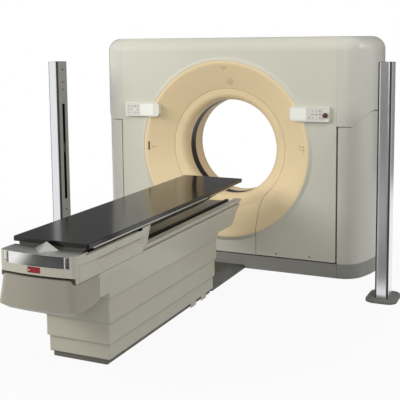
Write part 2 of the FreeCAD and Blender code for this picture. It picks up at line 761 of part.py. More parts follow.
def keypads():
    """Membrane keypad of each panel with its raised keys."""
    y1 = FRONT_Y - PANEL_T + 2.2
    pads = []
    for side in (-1, 1):
        x0 = side * PANEL_X - PANEL_W / 2 + 12 if side < 0 else PANEL_X - PANEL_W / 2 + 150
        x1 = x0 + 136
        plate = box(x0, x1, y1 - 2, y1, PANEL_Z - 50, PANEL_Z + 50)
        keys = []
        for column in range(4):
            for row in range(3):
                kx = x0 + 10 + 31 * column
                kz = PANEL_Z - 40 + 29 * row
                keys.append(box(kx, kx + 22, y1 - 3.4, y1 - 2, kz, kz + 19))
        if side > 0:
            hole = rod_y(ESTOP_R + 6, y1 - 10, y1 + 1, *estop_place())
            plate = plate.cut(hole)
            keys = [k for k in keys if k.BoundBox.XMax < estop_place()[0] - ESTOP_R - 6]
        pads.append(fused([plate] + keys))
    return Part.makeCompound(pads)


def displays():
    """Flat display window of each panel."""
    y1 = FRONT_Y - PANEL_T + 2.2
    left_x = -PANEL_X - PANEL_W / 2 + 12 + 136 + 1
    right_x = PANEL_X - PANEL_W / 2 + 12
    windows = []
    for x0, width in ((left_x, 138.0), (right_x, 136.0)):
        windows.append(box(x0, x0 + width, y1 - 2.6, y1, PANEL_Z - 50, PANEL_Z + 50))
    return Part.makeCompound(windows)


def emergency_stop():
    """Mushroom push button, with its stem in the right panel."""
    x, z = estop_place()
    face = FRONT_Y - PANEL_T
    stem = rod_y(ESTOP_R - 5, face - 8, FRONT_Y - 14, x, z)
    collar = rod_y(ESTOP_R, face - 6, face + 6, x, z)
    head = Part.makeSphere(46.0, V(x, face + 25, z)).common(rod_y(ESTOP_R + 4, face - 40, face - 6, x, z))
    return fused([stem, collar, head])


# ------------------------------------------------------ couch, sliding

def foot_corners(half, front, back, corner, bow):
    """Plan of the couch's foot end: rounded corners and a bowed front."""
    return [
        (-half, back),
        (-half, front + bow, corner),
        (0.0, front - bow, 1500.0),
        (half, front + bow, corner),
        (half, back),
    ]


def foot_block(inset, back, z0, z1):
    corners = foot_corners(FOOT_HALF - inset, FOOT_FRONT + inset, back,
                           FOOT_CORNER - inset, FOOT_BOW)
    return prism_z(corners, z0, z1)


def tabletop():
    """Flat carbon fibre top: square ends with small rounded corners."""
    plan = [(-TOP_HALF, TOP_FOOT, 12), (TOP_HALF, TOP_FOOT, 12),
            (TOP_HALF, TOP_HEAD, 12), (-TOP_HALF, TOP_HEAD, 12)]
    slab = prism_z(plan, TOP_Z - TOP_T, TOP_Z)
    upper = [e for e in slab.Edges if e.BoundBox.ZMin > TOP_Z - 0.01]
    return slab.makeChamfer(2.5, upper)


def cradle_section(grow=0.0):
    top = TOP_Z - TOP_T
    half = CRADLE_HALF + grow
    low = top - CRADLE_DROP - grow
    return [
        (-half, top),
        (-half, top - 24, 30),
        (-half + 74, low, 150),
        (half - 74, low, 150),
        (half, top - 24, 30),
        (half, top),
    ]


def cradle():
    """Curved beam under the flat top, tapering to its nose."""
    top = TOP_Z - TOP_T
    beam = prism_y(cradle_section(), TOP_FOOT + CRADLE_SET, CRADLE_NOSE)
    wedge = prism_x([(CRADLE_NOSE - CRADLE_TAPER, top - CRADLE_DROP - 1),
                     (CRADLE_NOSE + 1, top - 8),
                     (CRADLE_NOSE + 1, top - CRADLE_DROP - 1)], -HUGE, HUGE)
    return beam.cut(wedge)


def edge_rails():
    """Accessory rail under each long edge of the flat top."""
    rails = []
    for y0, y1 in ((TOP_FOOT + 60, TOP_HEAD - 701), (TOP_HEAD - 655, CRADLE_NOSE + 35)):
        rails.append(box(TOP_HALF - 27, TOP_HALF - 4, y0, y1, TOP_Z - TOP_T - 11, TOP_Z - TOP_T))
    return pair(Part.makeCompound(rails))


def foot_deck():
    """Metal deck of the foot end, with a ridge that fades towards the foot."""
    y_back = TOP_FOOT + CRADLE_SET - SEAM
    plate = foot_block(FOOT_WALL, y_back, DECK_Z - 8, DECK_Z)
    ridge_y = TOP_FOOT - RIDGE_SET
    apex = V(0, ridge_y, DECK_Z + RIDGE_H)
    left = V(-RIDGE_HALF, ridge_y, DECK_Z - 1)
    right = V(RIDGE_HALF, ridge_y, DECK_Z - 1)
    fade = V(0, FOOT_FRONT + 36, DECK_Z - 1)
    faces = [
        Part.Face(Part.makePolygon([left, right, apex, left])),
        Part.Face(Part.makePolygon([left, apex, fade, left])),
        Part.Face(Part.makePolygon([right, fade, apex, right])),
        Part.Face(Part.makePolygon([left, fade, right, left])),
    ]
    ridge = Part.makeSolid(Part.makeShell(faces))
    if ridge.Volume < 0:
        ridge.reverse()
    return fused([plate, ridge])


def side_plan(inset, z):
    """Closed plan of the sliding cover: its rear corners turn inwards and lean."""
    half = FOOT_HALF - inset
    turn_y = SIDE_END + (z - SKIRT_Z) * SIDE_LEAN
    rear = turn_y + SIDE_TURN - inset * 0.4
    r = SIDE_TURN_R - inset
    corners = foot_corners(half, FOOT_FRONT + inset, turn_y, FOOT_CORNER - inset, FOOT_BOW)
    corners[0] = (-half, turn_y, r)
    corners[-1] = (half, turn_y, r)
    corners.append((half - SIDE_TURN, rear, 30.0 - inset))
    corners.append((SIDE_TURN - half, rear, 30.0 - inset))
    return outline(corners, lambda x, y: V(x, y, z))


def side_block(inset, z0, z1):
    return Part.makeLoft([side_plan(inset, z0), side_plan(inset, z1)], True, True)


def foot_wall(z0, z1):
    """Wall that follows the foot end's plan between two heights."""
    return side_block(0.0, z0, z1).cut(side_block(FOOT_WALL, z0 - 1, z1 + 1))


def chrome_handle():
    """Bright band across the foot end, with rounded ends and a bead near each."""
    wall = foot_wall(DECK_Z - HANDLE_H, DECK_Z)
    bar = wall.common(box(-HANDLE_HALF, HANDLE_HALF, -HUGE, FOOT_FRONT + 62, 0, HUGE))
    bead_x = HANDLE_HALF - HANDLE_BEAD
    bead_y = FOOT_FRONT + FOOT_BOW * (2 * bead_x / FOOT_HALF - 1) + FOOT_WALL * 0.4
    bar = bar.cut(pair(box(bead_x - 1.5, bead_x + 1.5, -HUGE, bead_y, 0, HUGE)))
    ends = []
    for e in bar.Edges:
        b = e.BoundBox
        if b.ZLength > HANDLE_H - 1 and HANDLE_HALF - abs(b.Center.x) < 0.5 and b.YMin < FOOT_FRONT + FOOT_BOW + 1:
            ends.append(e)
    return bar.makeFillet(FOOT_WALL * 0.6, ends)


def foot_lip():
    """Space under the front band, its rear edge sloping down to the skirts."""
    return prism_x([(-HUGE, SKIRT_Z - 1), (LIP_LOW_Y, SKIRT_Z - 1), (LIP_TOP_Y, BAND_Z), (-HUGE, BAND_Z)],
                   -HUGE, HUGE)


def finger_cove():
    """Long undercut groove along a side panel, fading out at its foot end."""
    y0 = FOOT_FRONT + 190
    y1 = SIDE_END - 24
    low = RAIL_TOP + 27
    x = FOOT_HALF
    section = [(x + 1, low - 4), (x - 19, low + 6, 8), (x - 19, low + 28, 12), (x + 1, low + 42)]
    groove = prism_y(section, y0, y1)
    foot_fade = prism_z([(x - 26, y0 - 1), (x + 0.5, y0 - 1), (x - 26, y0 + 150)], low - 5, low + 50)
    head_fade = prism_z([(x - 26, y1 + 1), (x + 0.5, y1 + 1), (x - 26, y1 - 110)], low - 5, low + 50)
    return groove.cut(foot_fade).cut(head_fade)


def panel_seams():
    """Fine grooves that part a side panel from the front band's cheek."""
    x0 = FOOT_HALF - 2.5
    y0 = FOOT_FRONT + 53
    z0 = DECK_Z - 54
    upright = box(x0, FOOT_HALF + 1, y0, y0 + SEAM_CUT, SKIRT_Z - 1, z0 + SEAM_CUT)
    level = prism_x([(y0, z0), (y0 + 141, z0 - 12), (y0 + 141, z0 - 12 + SEAM_CUT), (y0, z0 + SEAM_CUT)],
                    x0, FOOT_HALF + 1)
    return upright.fuse(level)


def foot_cover():
    """Sliding cover: front band and two side panels with a long finger cove."""
    high = foot_wall(RAIL_TOP + SLIDE_GAP, DECK_Z)
    skirt = foot_wall(SKIRT_Z, RAIL_TOP + SLIDE_GAP).common(box(-HUGE, HUGE, -HUGE, SKIRT_END, 0, HUGE))
    skirt = skirt.cut(box(FOOT_WALL - FOOT_HALF, FOOT_HALF - FOOT_WALL, -HUGE, HUGE, 0, HUGE))
    wall = high.fuse(skirt).cut(foot_lip())
    wall = wall.cut(box(-HANDLE_HALF - SEAM, HANDLE_HALF + SEAM, -HUGE, FOOT_FRONT + 62 + SEAM,
                        DECK_Z - HANDLE_H - SEAM, HUGE))
    wall = wall.cut(box(SIDE_TURN - FOOT_HALF, FOOT_HALF - SIDE_TURN, SIDE_END, HUGE, 0, HUGE))
    wall = wall.cut(prism_y(cradle_section(SEAM), SIDE_END - 80, 0))
    cheek = box(FOOT_HALF - 30, FOOT_HALF - 2, FOOT_FRONT + 90, SIDE_END - 90, RAIL_TOP + SLIDE_GAP, SIDE_TOP)
    step = box(FOOT_HALF - 40, FOOT_HALF + 1, FOOT_FRONT + 130, SIDE_END - 62, SIDE_TOP, DECK_Z + 1)
    for flip in (False, True):
        cuts = [finger_cove(), panel_seams(), step]
        side = cheek
        if flip:
            side = mirrored(side)
            cuts = [mirrored(c) for c in cuts]
        wall = wall.fuse(side)
        for c in cuts:
            wall = wall.cut(c)
    return wall.cut(release_zone(0.5)).removeSplitter()


def release_zone(grow):
    return box(-50 - grow, 38 + grow, FOOT_FRONT - 30, FOOT_FRONT + 30, BAND_Z + 12 - grow, BAND_Z + 47 + grow)


def release_button():
    """Push plate in the foot band that frees the top."""
    face = foot_block(1.5, FOOT_FRONT + 14, BAND_Z, DECK_Z).common(release_zone(0.0))
    return face


def cradle_saddle():
    """Leaning cross plate between the turned-in ends of the side panels."""
    top = TOP_Z - TOP_T - 12
    low = RAIL_TOP + SLIDE_GAP
    foot_y = SIDE_END + (low - SKIRT_Z) * SIDE_LEAN + SIDE_TURN - FOOT_WALL
    lean = (top - low) * SIDE_LEAN
    x = FOOT_HALF - SIDE_TURN - SEAM
    plate = prism_x([(foot_y - 30, low), (foot_y, low), (foot_y + lean, top), (foot_y + lean - 30, top)], -x, x)
    return plate.cut(prism_y(cradle_section(), FOOT_FRONT, 0))


def carriage_frame():
    """Chassis under the foot end that rides on the body's guide rails."""
    low = GUIDE_TOP + GLIDE_GAP
    top = TOP_Z - TOP_T - CRADLE_DROP
    plate = box(-205, 205, FOOT_FRONT + 90, SIDE_END - 60, low, top)
    shelf = []
    for y in (FOOT_FRONT + 90, SIDE_END - 140):
        shelf.append(box(-FOOT_HALF + 30, FOOT_HALF - 30, y, y + 40, RAIL_TOP + SLIDE_GAP, top))
    saddle_cut = prism_y(cradle_section(), FOOT_FRONT, 0)
    return fused([plate] + shelf).cut(saddle_cut)


def guide_rails():
    rail = box(GUIDE_X - 12, GUIDE_X + 12, BODY_FOOT + 30, BODY_HEAD - 60, BODY_TOP, GUIDE_TOP)
    return pair(rail)


# ------------------------------------------------------- couch, body

def hull_section(half, low_half, z_low, z_top):
    """Cross section of the couch body, drawn in towards its lower edge."""
    return [
        (-low_half, z_low),
        (-half, LEDGE_Z - 28, 120),
        (-half, z_top),
        (half, z_top),
        (half, LEDGE_Z - 28, 120),
        (low_half, z_low),
    ]


def body_side(inset):
    """Side outline of the body: skirt over the pedestal, upswept head end."""
    belly = BODY_BELLY + inset
    low = BODY_SEAM - (1.0 if inset else 0.0)
    skirt = SHROUD_GAP + 2.0 + BODY_WALL - inset
    return [
        (BODY_FOOT + inset, RAIL_TOP),
        (BODY_FOOT + inset, belly),
        (SHROUD_FOOT - skirt, belly),
        (SHROUD_FOOT - skirt, low),
        (SHROUD_HEAD + skirt, low),
        (SHROUD_HEAD + skirt, belly),
        (HEAD_CHIN - inset, belly, 110),
        (HEAD_KNEE[0] - inset, HEAD_KNEE[1], 60),
        (BODY_HEAD - inset * 1.6, RAIL_TOP),
    ]


def body_block(inset):
    half = BODY_HALF - inset
    low_half = SHROUD_HALF + SHROUD_GAP + BODY_WALL - inset
    hull = prism_y(hull_section(half, low_half, BODY_SEAM - 2, LEDGE_Z - inset), -HUGE, 0)
    step = BODY_HALF - GROOVE_D - inset
    upper = box(-step, step, -HUGE, 0, LEDGE_Z - inset - 30, BODY_TOP - inset)
    return prism_x(body_side(inset), -HUGE / 4, HUGE / 4).common(hull.fuse(upper))


def body_cover():
    """Moulded shell of the couch body, open over the pedestal."""
    return body_block(0.0).cut(body_block(BODY_WALL)).removeSplitter()


def side_rails():
    """Flat along each upper edge of the body, above the parting groove."""
    x1 = BODY_HALF - FOOT_WALL - SLIDE_GAP
    rail = box(x1 - RAIL_W, x1, BODY_FOOT + 2, 0, BODY_TOP, RAIL_TOP)
    return pair(rail.common(prism_x(body_side(0.0), 0, HUGE)))


def bumper_ring(half, front, z):
    corners = [
        (-BODY_HALF, BODY_FOOT - SEAM),
        (-half, BODY_FOOT - 150, 400),
        (-half, front + FOOT_BOW, BUMPER_CORNER),
        (0.0, front - FOOT_BOW, 1400.0),
        (half, front + FOOT_BOW, BUMPER_CORNER),
        (half, BODY_FOOT - 150, 400),
        (BODY_HALF, BODY_FOOT - SEAM),
    ]
    return outline(corners, lambda x, y: V(x, y, z))


def foot_bumper():
    """Bulged lower cover of the foot end, hollow and open behind."""
    top_z = BAND_Z - 16
    rings = [
        bumper_ring(FOOT_HALF - 2, FOOT_FRONT - 4, top_z),
        bumper_ring(FOOT_HALF + 0.75 * BUMPER_BULGE, FOOT_FRONT - 18, BUMPER_LOW + 60),
        bumper_ring(FOOT_HALF + BUMPER_BULGE, FOOT_FRONT - 22, BUMPER_LOW + 26),
        bumper_ring(FOOT_HALF - 8, FOOT_FRONT + 8, BUMPER_LOW),
    ]
    body = Part.makeLoft(rings, True, True)
    hollow_rings = [
        bumper_ring(FOOT_HALF - 8, FOOT_FRONT + 3, top_z - 8),
        bumper_ring(FOOT_HALF + 0.75 * BUMPER_BULGE - 7, FOOT_FRONT - 11, BUMPER_LOW + 60),
        bumper_ring(FOOT_HALF + BUMPER_BULGE - 8, FOOT_FRONT - 14, BUMPER_LOW + 28),
        bumper_ring(FOOT_HALF - 14, FOOT_FRONT + 14, BUMPER_LOW + 8),
    ]
    rise = prism_x([(FOOT_FRONT + 30, BUMPER_LOW - 9), (BODY_FOOT + 1, BODY_BELLY),
                    (BODY_FOOT + 1, BUMPER_LOW - 9)], -HUGE, HUGE)
    ease = prism_x([(LIP_LOW_Y - 7, SKIRT_Z - SLIDE_GAP), (0, SKIRT_Z - SLIDE_GAP), (0, BAND_Z), (LIP_TOP_Y - 8, BAND_Z)],
                   FOOT_HALF - 40, HUGE)
    body = body.cut(rise).cut(ease).cut(mirrored(ease))
    hollow = Part.makeLoft(hollow_rings, True, True)
    return body.cut(hollow)


def couch_frame():
    """Welded frame inside the body that the lift columns carry."""
    top = BODY_TOP - BODY_WALL
    low = stage_high(3)
    half = SHROUD_HALF - 3 * SHROUD_STEP_X - 9
    side = box(half - 40, half, SHROUD_FOOT + 110, SHROUD_HEAD - 110, low, top - 22)
    parts = [side, mirrored(side)]
    parts.append(box(-half, half, BODY_FOOT + 40, BODY_HEAD - 150, top - 22, top))
    for y in column_places():
        parts.append(box(-half, half, y - 90, y + 90, low, low + 14))
    return fused(parts)


def column_places():
    return (SHROUD_FOOT + COLUMN_FROM_END, SHROUD_HEAD - COLUMN_FROM_END)


# ------------------------------------------------------------ pedestal

def shroud_plan(level):
    """Half width, foot end and head end of a shroud; level 0 is the widest."""
    return (
        SHROUD_HALF - level * SHROUD_STEP_X,
        SHROUD_FOOT + level * SHROUD_STEP_Y,
        SHROUD_HEAD - level * SHROUD_STEP_Y,
    )


def shroud_block(level, inset, low, high):
    half, y0, y1 = shroud_plan(level)
    x = half - inset
    r = SHROUD_CORNER - inset
    return prism_z([(-x, y0 + inset, r), (x, y0 + inset, r), (x, y1 - inset, r), (-x, y1 - inset, r)],
                   low, high)


def shroud(level):
    half, y0, y1 = shroud_plan(level)
    z0 = SHROUD_LOW[level]
    z1 = SHROUD_HIGH[level]

    shell = shroud_block(level, 0.0, z0, z1).cut(shroud_block(level, SHROUD_WALL, z0 - 1, z1 + 1))
    notch_top = DUCT_H + LIFT_DOWN * SHROUD_SHARE[level] + DUCT_GAP
    if level < 2 and notch_top > z0:
        x = DUCT_NECK + DUCT_GAP
        shell = shell.cut(box(-x, x, y1 - 2 * SHROUD_WALL, y1 + 1, z0 - 1, notch_top))
    if level == 2:
        for y in (y1 - 416, y1 - 231):
            tab = box(half - SHROUD_WALL, half, y, y + 90, TAB_FOOT, z0 + 1)
            shell = fused([shell, tab, mirrored(tab)])
    return shell


def couch_base():
    """Floor plate of the couch with its dark toe strip."""
    half, y0, y1 = shroud_plan(2)
    x = half - STRIP_INSET_X
    foot = prism_z([(-x, y0 + STRIP_INSET_Y, 6), (x, y0 + STRIP_INSET_Y, 6),
                    (x, y1 - STRIP_INSET_Y, 6), (-x, y1 - STRIP_INSET_Y, 6)], 0, STRIP_H)
    return foot.fuse(shroud_block(2, SHROUD_WALL, STRIP_H, BASE_T))


def stage_low(level):
    """Foot of a lift stage at rest: the stages share the climb evenly."""
    nested = BASE_T + level * (STAGE_WALL + STAGE_REST)
    return nested + LIFT_DOWN * level / (len(STAGE_R) - 1)


def stage_high(level):
    """Top of a lift stage: its arm clears the shroud below when right down."""
    if level == 0:
        return BASE_T + STAGE_FIRST
    if level == len(STAGE_R) - 1:
        return stage_high(level - 1) + LIFT_DOWN / (len(STAGE_R) - 1) + ARM_GAP
    climb = LIFT_DOWN / (len(STAGE_R) - 1)
    return SHROUD_HIGH[3 - level] + climb + ARM_GAP + ARM_T2


def lift_stage(level):
    """One stage of both telescoping lift columns, with its shroud's arm."""
    z0 = stage_low(level)
    z1 = stage_high(level)
    last = len(STAGE_R) - 1
    stages = []
    for y in column_places():
        tube = rod_z(STAGE_R[level], z0, z1, 0.0, y)
        if 0 < level < last:
            reach = shroud_plan(2 - level)[0] - SHROUD_WALL
            tube = tube.fuse(box(-reach, reach, y - 45, y + 45, z1 - ARM_T2, z1))
        if level < last:
            tube = tube.cut(rod_z(STAGE_R[level + 1] + STAGE_FIT, z0 + STAGE_WALL, z1 + 1, 0.0, y))
        stages.append(tube)
    return Part.makeCompound(stages)


def floor_duct():
    """Low cable duct between couch and gantry, sloped at the gantry end."""
    y0 = shroud_plan(2)[2] + SEAM
    y1 = FRONT_Y - DUCT_SEAT
    wide_y = SHROUD_HEAD + DUCT_GAP
    body = prism_x([(wide_y, 0), (wide_y, DUCT_H), (DUCT_SHOULDER, DUCT_H), (y1 - 58, 46), (y1, 20), (y1, 0)],
                   -DUCT_HALF, DUCT_HALF)
    neck = box(-DUCT_NECK, DUCT_NECK, y0, wide_y, 0, DUCT_H)
    return body.fuse(neck).removeSplitter()


# --------------------------------------------------------- laser posts

def post_block(x, inset, z0, z1):
    r = max(POST_CORNER - inset, 2.0)
    w = POST_W / 2 - inset
    d = POST_D / 2 - inset
    return prism_z([(x - w, POST_Y - d, r), (x + w, POST_Y - d, r),
                    (x + w, POST_Y + d, r), (x - w, POST_Y + d, r)], z0, z1)


def post(x, inward):
    """Extruded column with a capped top and a slot on its inner face."""
    shell = post_block(x, 0.0, POST_FOOT_T, POST_H)
    shell = shell.cut(post_block(x, POST_WALL, POST_FOOT_T - 1, POST_H - POST_WALL))
    reach = sorted((x + inward * (POST_W / 2 - POST_WALL - 1), x + inward * (POST_W / 2 + 1)))
    slot = box(reach[0], reach[1], POST_Y - SLOT_W / 2, POST_Y + SLOT_W / 2, SLOT_LOW, SLOT_HIGH)
    holes = [rod_x(PORT_R, reach[0], reach[1], POST_Y, z) for z in POST_PORTS]
    return shell.cut(Part.makeCompound([slot] + holes))


def post_feet():
    """Cast foot plate of each post, with four floor bolts' holes."""
    feet = []
    for x in (POST_LEFT, POST_RIGHT):
        w = FOOT_PLATE_W / 2
        d = FOOT_PLATE_D / 2
        plan = [(x - w, POST_Y - d, 70), (x + w, POST_Y - d, 70), (x + w, POST_Y + d, 70), (x - w, POST_Y + d, 70)]
        plate = prism_z(plan, 0, POST_FOOT_T)
        upper = [e for e in plate.Edges if e.BoundBox.ZMin > POST_FOOT_T - 0.01]
        plate = plate.makeChamfer(8, upper)
        for sx in (-1, 1):
            for sy in (-1, 1):
                plate = plate.cut(rod_z(BOLT_R, -1, POST_FOOT_T + 1, x + sx * BOLT_X, POST_Y + sy * BOLT_Y))
        feet.append(plate)
    return Part.makeCompound(feet)


FOOT_PLATE_W = 236.0
FOOT_PLATE_D = 290.0
BOLT_X = 80.0
BOLT_Y = 105.0


def laser_carriage(x, inward):
    """Laser head that slides in the post and looks out through its slot."""
    gap = 0.4
    w = POST_W / 2 - POST_WALL - gap
    d = POST_D / 2 - POST_WALL - gap
    z = ISO_Z
    body = post_block(x, POST_WALL + gap, z - LASER_HALF, z + LASER_HALF)
    reach = sorted((x + inward * (w - 1), x + inward * (POST_W / 2 - 0.5)))
    nose = box(reach[0], reach[1], POST_Y - SLOT_W / 2 + gap, POST_Y + SLOT_W / 2 - gap,
               z - LASER_HALF + 12, z + LASER_HALF - 12)
    return body.fuse(nose).removeSplitter()


# -------------------------------------------------------------- output

def all_parts():
    cover, low_panel = front_covers()
    column = side_cover()
    cap = corner_cap()
    support = tilt_support()
    parts = {
        "gantry_base": gantry_base(),
        "side_cover_left": mirrored(column),
        "side_cover_right": column,
        "tilt_supports": pair(support),
        "tilt_drive": tilt_drive(),
        "tilt_frame": tilt_frame(),
        "trunnions": pair(trunnion()),
        "bearing_outer_ring": bearing_outer(),
        "front_cover": cover,
        "front_low_panel": low_panel,
        "rear_cover": rear_cover(),
        "corner_cap_left": mirrored(cap),
        "corner_cap_right": cap,
        "front_ring": front_ring(),
        "front_liner": front_liner(),
        "scan_window": scan_window(),
        "rear_funnel": rear_funnel(),
        "laser_apertures": laser_apertures(),
        "control_panel_left": control_panel(-1),
        "control_panel_right": control_panel(1),
        "keypads": keypads(),
        "displays": displays(),
        "emergency_stop": emergency_stop(),
        "rotor_drum": rotor_drum(),
        "bearing_inner_ring": bearing_inner(),
        "slip_ring": slip_ring(),
        "xray_tube": xray_tube(),
        "collimator": collimator(),
        "detector_arc": detector_arc(),
        "high_voltage_tank": voltage_tank(),
        "cooler": cooler(),
        "counterweights": counterweights(),
        "couch_base": couch_base(),
        "shroud_lower": shroud(2),
        "shroud_middle": shroud(1),
        "shroud_upper": shroud(0),
        "lift_stage_1": lift_stage(0),
        "lift_stage_2": lift_stage(1),
        "lift_stage_3": lift_stage(2),
        "lift_stage_4": lift_stage(3),
        "couch_frame": couch_frame(),
        "body_cover": body_cover(),
        "side_rails": side_rails(),
        "foot_bumper": foot_bumper(),
        "guide_rails": guide_rails(),
        "carriage_frame": carriage_frame(),
        "cradle_saddle": cradle_saddle(),
        "cradle": cradle(),
        "tabletop": tabletop(),
        "edge_rails": edge_rails(),
        "foot_deck": foot_deck(),
        "foot_handle": chrome_handle(),
        "foot_cover": foot_cover(),
        "release_button": release_button(),
        "floor_duct": floor_duct(),
        "post_left": post(POST_LEFT, 1),
        "post_right": post(POST_RIGHT, -1),
        "post_feet": post_feet(),
        "laser_carriage_left": laser_carriage(POST_LEFT, 1),
        "laser_carriage_right": laser_carriage(POST_RIGHT, -1),
    }
    return parts


def main():
    os.makedirs("parts", exist_ok=True)
    for name, shape in all_parts().items():
        shape.exportStep("parts/" + name + ".step")


main()
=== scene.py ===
import math

import bmesh
import bpy
from mathutils import Matrix, Vector


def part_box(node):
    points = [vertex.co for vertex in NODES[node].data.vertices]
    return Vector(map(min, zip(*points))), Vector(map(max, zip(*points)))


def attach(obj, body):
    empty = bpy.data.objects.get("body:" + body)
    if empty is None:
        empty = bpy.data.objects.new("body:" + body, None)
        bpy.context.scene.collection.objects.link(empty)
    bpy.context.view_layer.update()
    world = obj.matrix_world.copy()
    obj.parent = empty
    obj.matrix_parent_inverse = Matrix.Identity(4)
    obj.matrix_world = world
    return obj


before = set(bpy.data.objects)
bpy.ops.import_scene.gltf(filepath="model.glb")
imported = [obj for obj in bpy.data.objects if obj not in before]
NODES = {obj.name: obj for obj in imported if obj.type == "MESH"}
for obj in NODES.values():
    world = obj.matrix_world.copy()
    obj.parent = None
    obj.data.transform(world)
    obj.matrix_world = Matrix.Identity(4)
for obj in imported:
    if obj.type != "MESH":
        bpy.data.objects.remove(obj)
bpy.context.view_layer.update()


# ---------------------------------------------------------------- materials

def tone(r, g, b):
    """A colour written from 0 to 255 as the linear colour that a shader takes."""
    def linear(c):
        c /= 255.0
        return c / 12.92 if c <= 0.04045 else ((c + 0.055) / 1.055) ** 2.4
    return (linear(r), linear(g), linear(b), 1.0)


def scaled(colour, k):
    """The same colour, paler or darker by a factor."""
    return (*(min(part * k, 1.0) for part in colour[:3]), 1.0)


CLOUD = (0.3, 0.7)      # the part of a noise's range that holds nearly all of it
BEVEL_SAMPLES = 4


class Maker:
    """One material's node tree, with the few kinds of node that the finishes share."""

    def __init__(self, name):
        self.material = bpy.data.materials.new(name)
        self.material.use_nodes = True
        self.tree = self.material.node_tree
        self.shader = self.tree.nodes["Principled BSDF"]
        self.place = self.add("ShaderNodeTexCoord").outputs["Object"]

    def add(self, kind):
        return self.tree.nodes.new(kind)

    def link(self, a, b):
        self.tree.links.new(a, b)

    def stretched(self, scale):
        m = self.add("ShaderNodeMapping")
        m.inputs["Scale"].default_value = scale
        self.link(self.place, m.inputs["Vector"])
        return m.outputs["Vector"]

    def noise(self, scale, detail=2.0, rough=0.5, place=None):
        n = self.add("ShaderNodeTexNoise")
        n.inputs["Scale"].default_value = scale
        n.inputs["Detail"].default_value = detail
        n.inputs["Roughness"].default_value = rough
        self.link(place or self.place, n.inputs["Vector"])
        return n.outputs["Fac"]

    def span(self, value, low, high, to_low, to_high):
        n = self.add("ShaderNodeMapRange")
        n.inputs["From Min"].default_value = low
        n.inputs["From Max"].default_value = high
        n.inputs["To Min"].default_value = to_low
        n.inputs["To Max"].default_value = to_high
        self.link(value, n.inputs["Value"])
        return n.outputs["Result"]

    def clouded(self, noise, a, b):
        """Two colours mixed by a noise, whose middle part is drawn out to the whole range."""
        return self.mixed(self.span(noise, *CLOUD, 0.0, 1.0), a, b)

    def axes(self):
        """The three parts of the position in the part's own frame."""
        n = self.add("ShaderNodeSeparateXYZ")
        self.link(self.place, n.inputs[0])
        return n.outputs[0], n.outputs[1], n.outputs[2]

    def within(self, value, centre, half, soft=0.0002):
        """1 where the value lies within half of the centre, and 0 elsewhere."""
        off = self.sums("ABSOLUTE", self.sums("SUBTRACT", value, centre))
        return self.span(off, half - soft, half + soft, 1.0, 0.0)

    def sums(self, kind, a, b=0.0):
        """One step of arithmetic between sockets or plain numbers."""
        n = self.add("ShaderNodeMath")
        n.operation = kind
        for socket, v in zip(n.inputs, (a, b)):
            if isinstance(v, (int, float)):
                socket.default_value = v
            else:
                self.link(v, socket)
        return n.outputs[0]

    def mixed(self, factor, a, b):
        n = self.add("ShaderNodeMix")
        n.data_type = "RGBA"
        self.link(factor, n.inputs[0])
        for socket, v in ((n.inputs[6], a), (n.inputs[7], b)):
            if isinstance(v, tuple):
                socket.default_value = v
            else:
                self.link(v, socket)
        return n.outputs[2]

    def rounded(self, radius):
        """The surface's direction with its sharp edges softened, and how near an edge is."""
        b = self.add("ShaderNodeBevel")
        b.samples = BEVEL_SAMPLES
        b.inputs["Radius"].default_value = radius
        g = self.add("ShaderNodeNewGeometry")
        d = self.add("ShaderNodeVectorMath")
        d.operation = "DOT_PRODUCT"
        self.link(b.outputs["Normal"], d.inputs[0])
        self.link(g.outputs["Normal"], d.inputs[1])
        return b.outputs["Normal"], self.span(d.outputs["Value"], 0.9, 1.0, 1.0, 0.0)

    def bump(self, height, strength, distance, normal=None):
        n = self.add("ShaderNodeBump")
        n.inputs["Strength"].default_value = strength
        n.inputs["Distance"].default_value = distance
        self.link(height, n.inputs["Height"])
        if normal is not None:
            self.link(normal, n.inputs["Normal"])
        return n.outputs["Normal"]

    def finish(self, colour, roughness, normal, metal=0.0, coat=0.0, coat_rough=0.1):
        """Feeds the shader; metal is None where a finish has linked that socket itself."""
        s = self.shader
        self.link(colour, s.inputs["Base Color"])
        self.link(roughness, s.inputs["Roughness"])
        self.link(normal, s.inputs["Normal"])
        if metal is not None:
            s.inputs["Metallic"].default_value = metal
        s.inputs["Coat Weight"].default_value = coat
        s.inputs["Coat Roughness"].default_value = coat_rough
        return self.material


def painted(name, base, rough=0.42, peel=0.25, mottle=0.02, coat=0.0, marks=None):
    """Moulded or painted covers: orange peel, faint clouding, handled edges a little paler."""
    wear = 0.08
    m = Maker(name)
    cloud = m.noise(1.6, 3.0)
    smudge = m.span(m.noise(9.0, 4.0, 0.6), 0.55, 0.8, 0.0, 0.25)
    colour = m.clouded(cloud, scaled(base, 1 - mottle), scaled(base, 1 + mottle))
    colour = m.mixed(smudge, colour, scaled(base, 1 - 2.5 * mottle))
    soft, near = m.rounded(radius=0.0018)
    worn = m.sums("MULTIPLY", near, m.span(m.noise(38.0, 3.0), 0.35, 0.65, 0.2, 1.0))
    colour = m.mixed(m.sums("MULTIPLY", worn, wear * 4), colour, scaled(base, 1 + wear))
    if marks:
        colour = marks(m, colour)
    roughness = m.span(m.noise(5.0, 4.0, 0.6), *CLOUD, rough - 0.05, rough + 0.07)
    orange_peel = m.noise(1100.0, 2.0, 0.6)
    normal = m.bump(orange_peel, strength=peel, distance=0.00012, normal=soft)
    return m.finish(colour, roughness, normal, coat=coat, coat_rough=0.14)


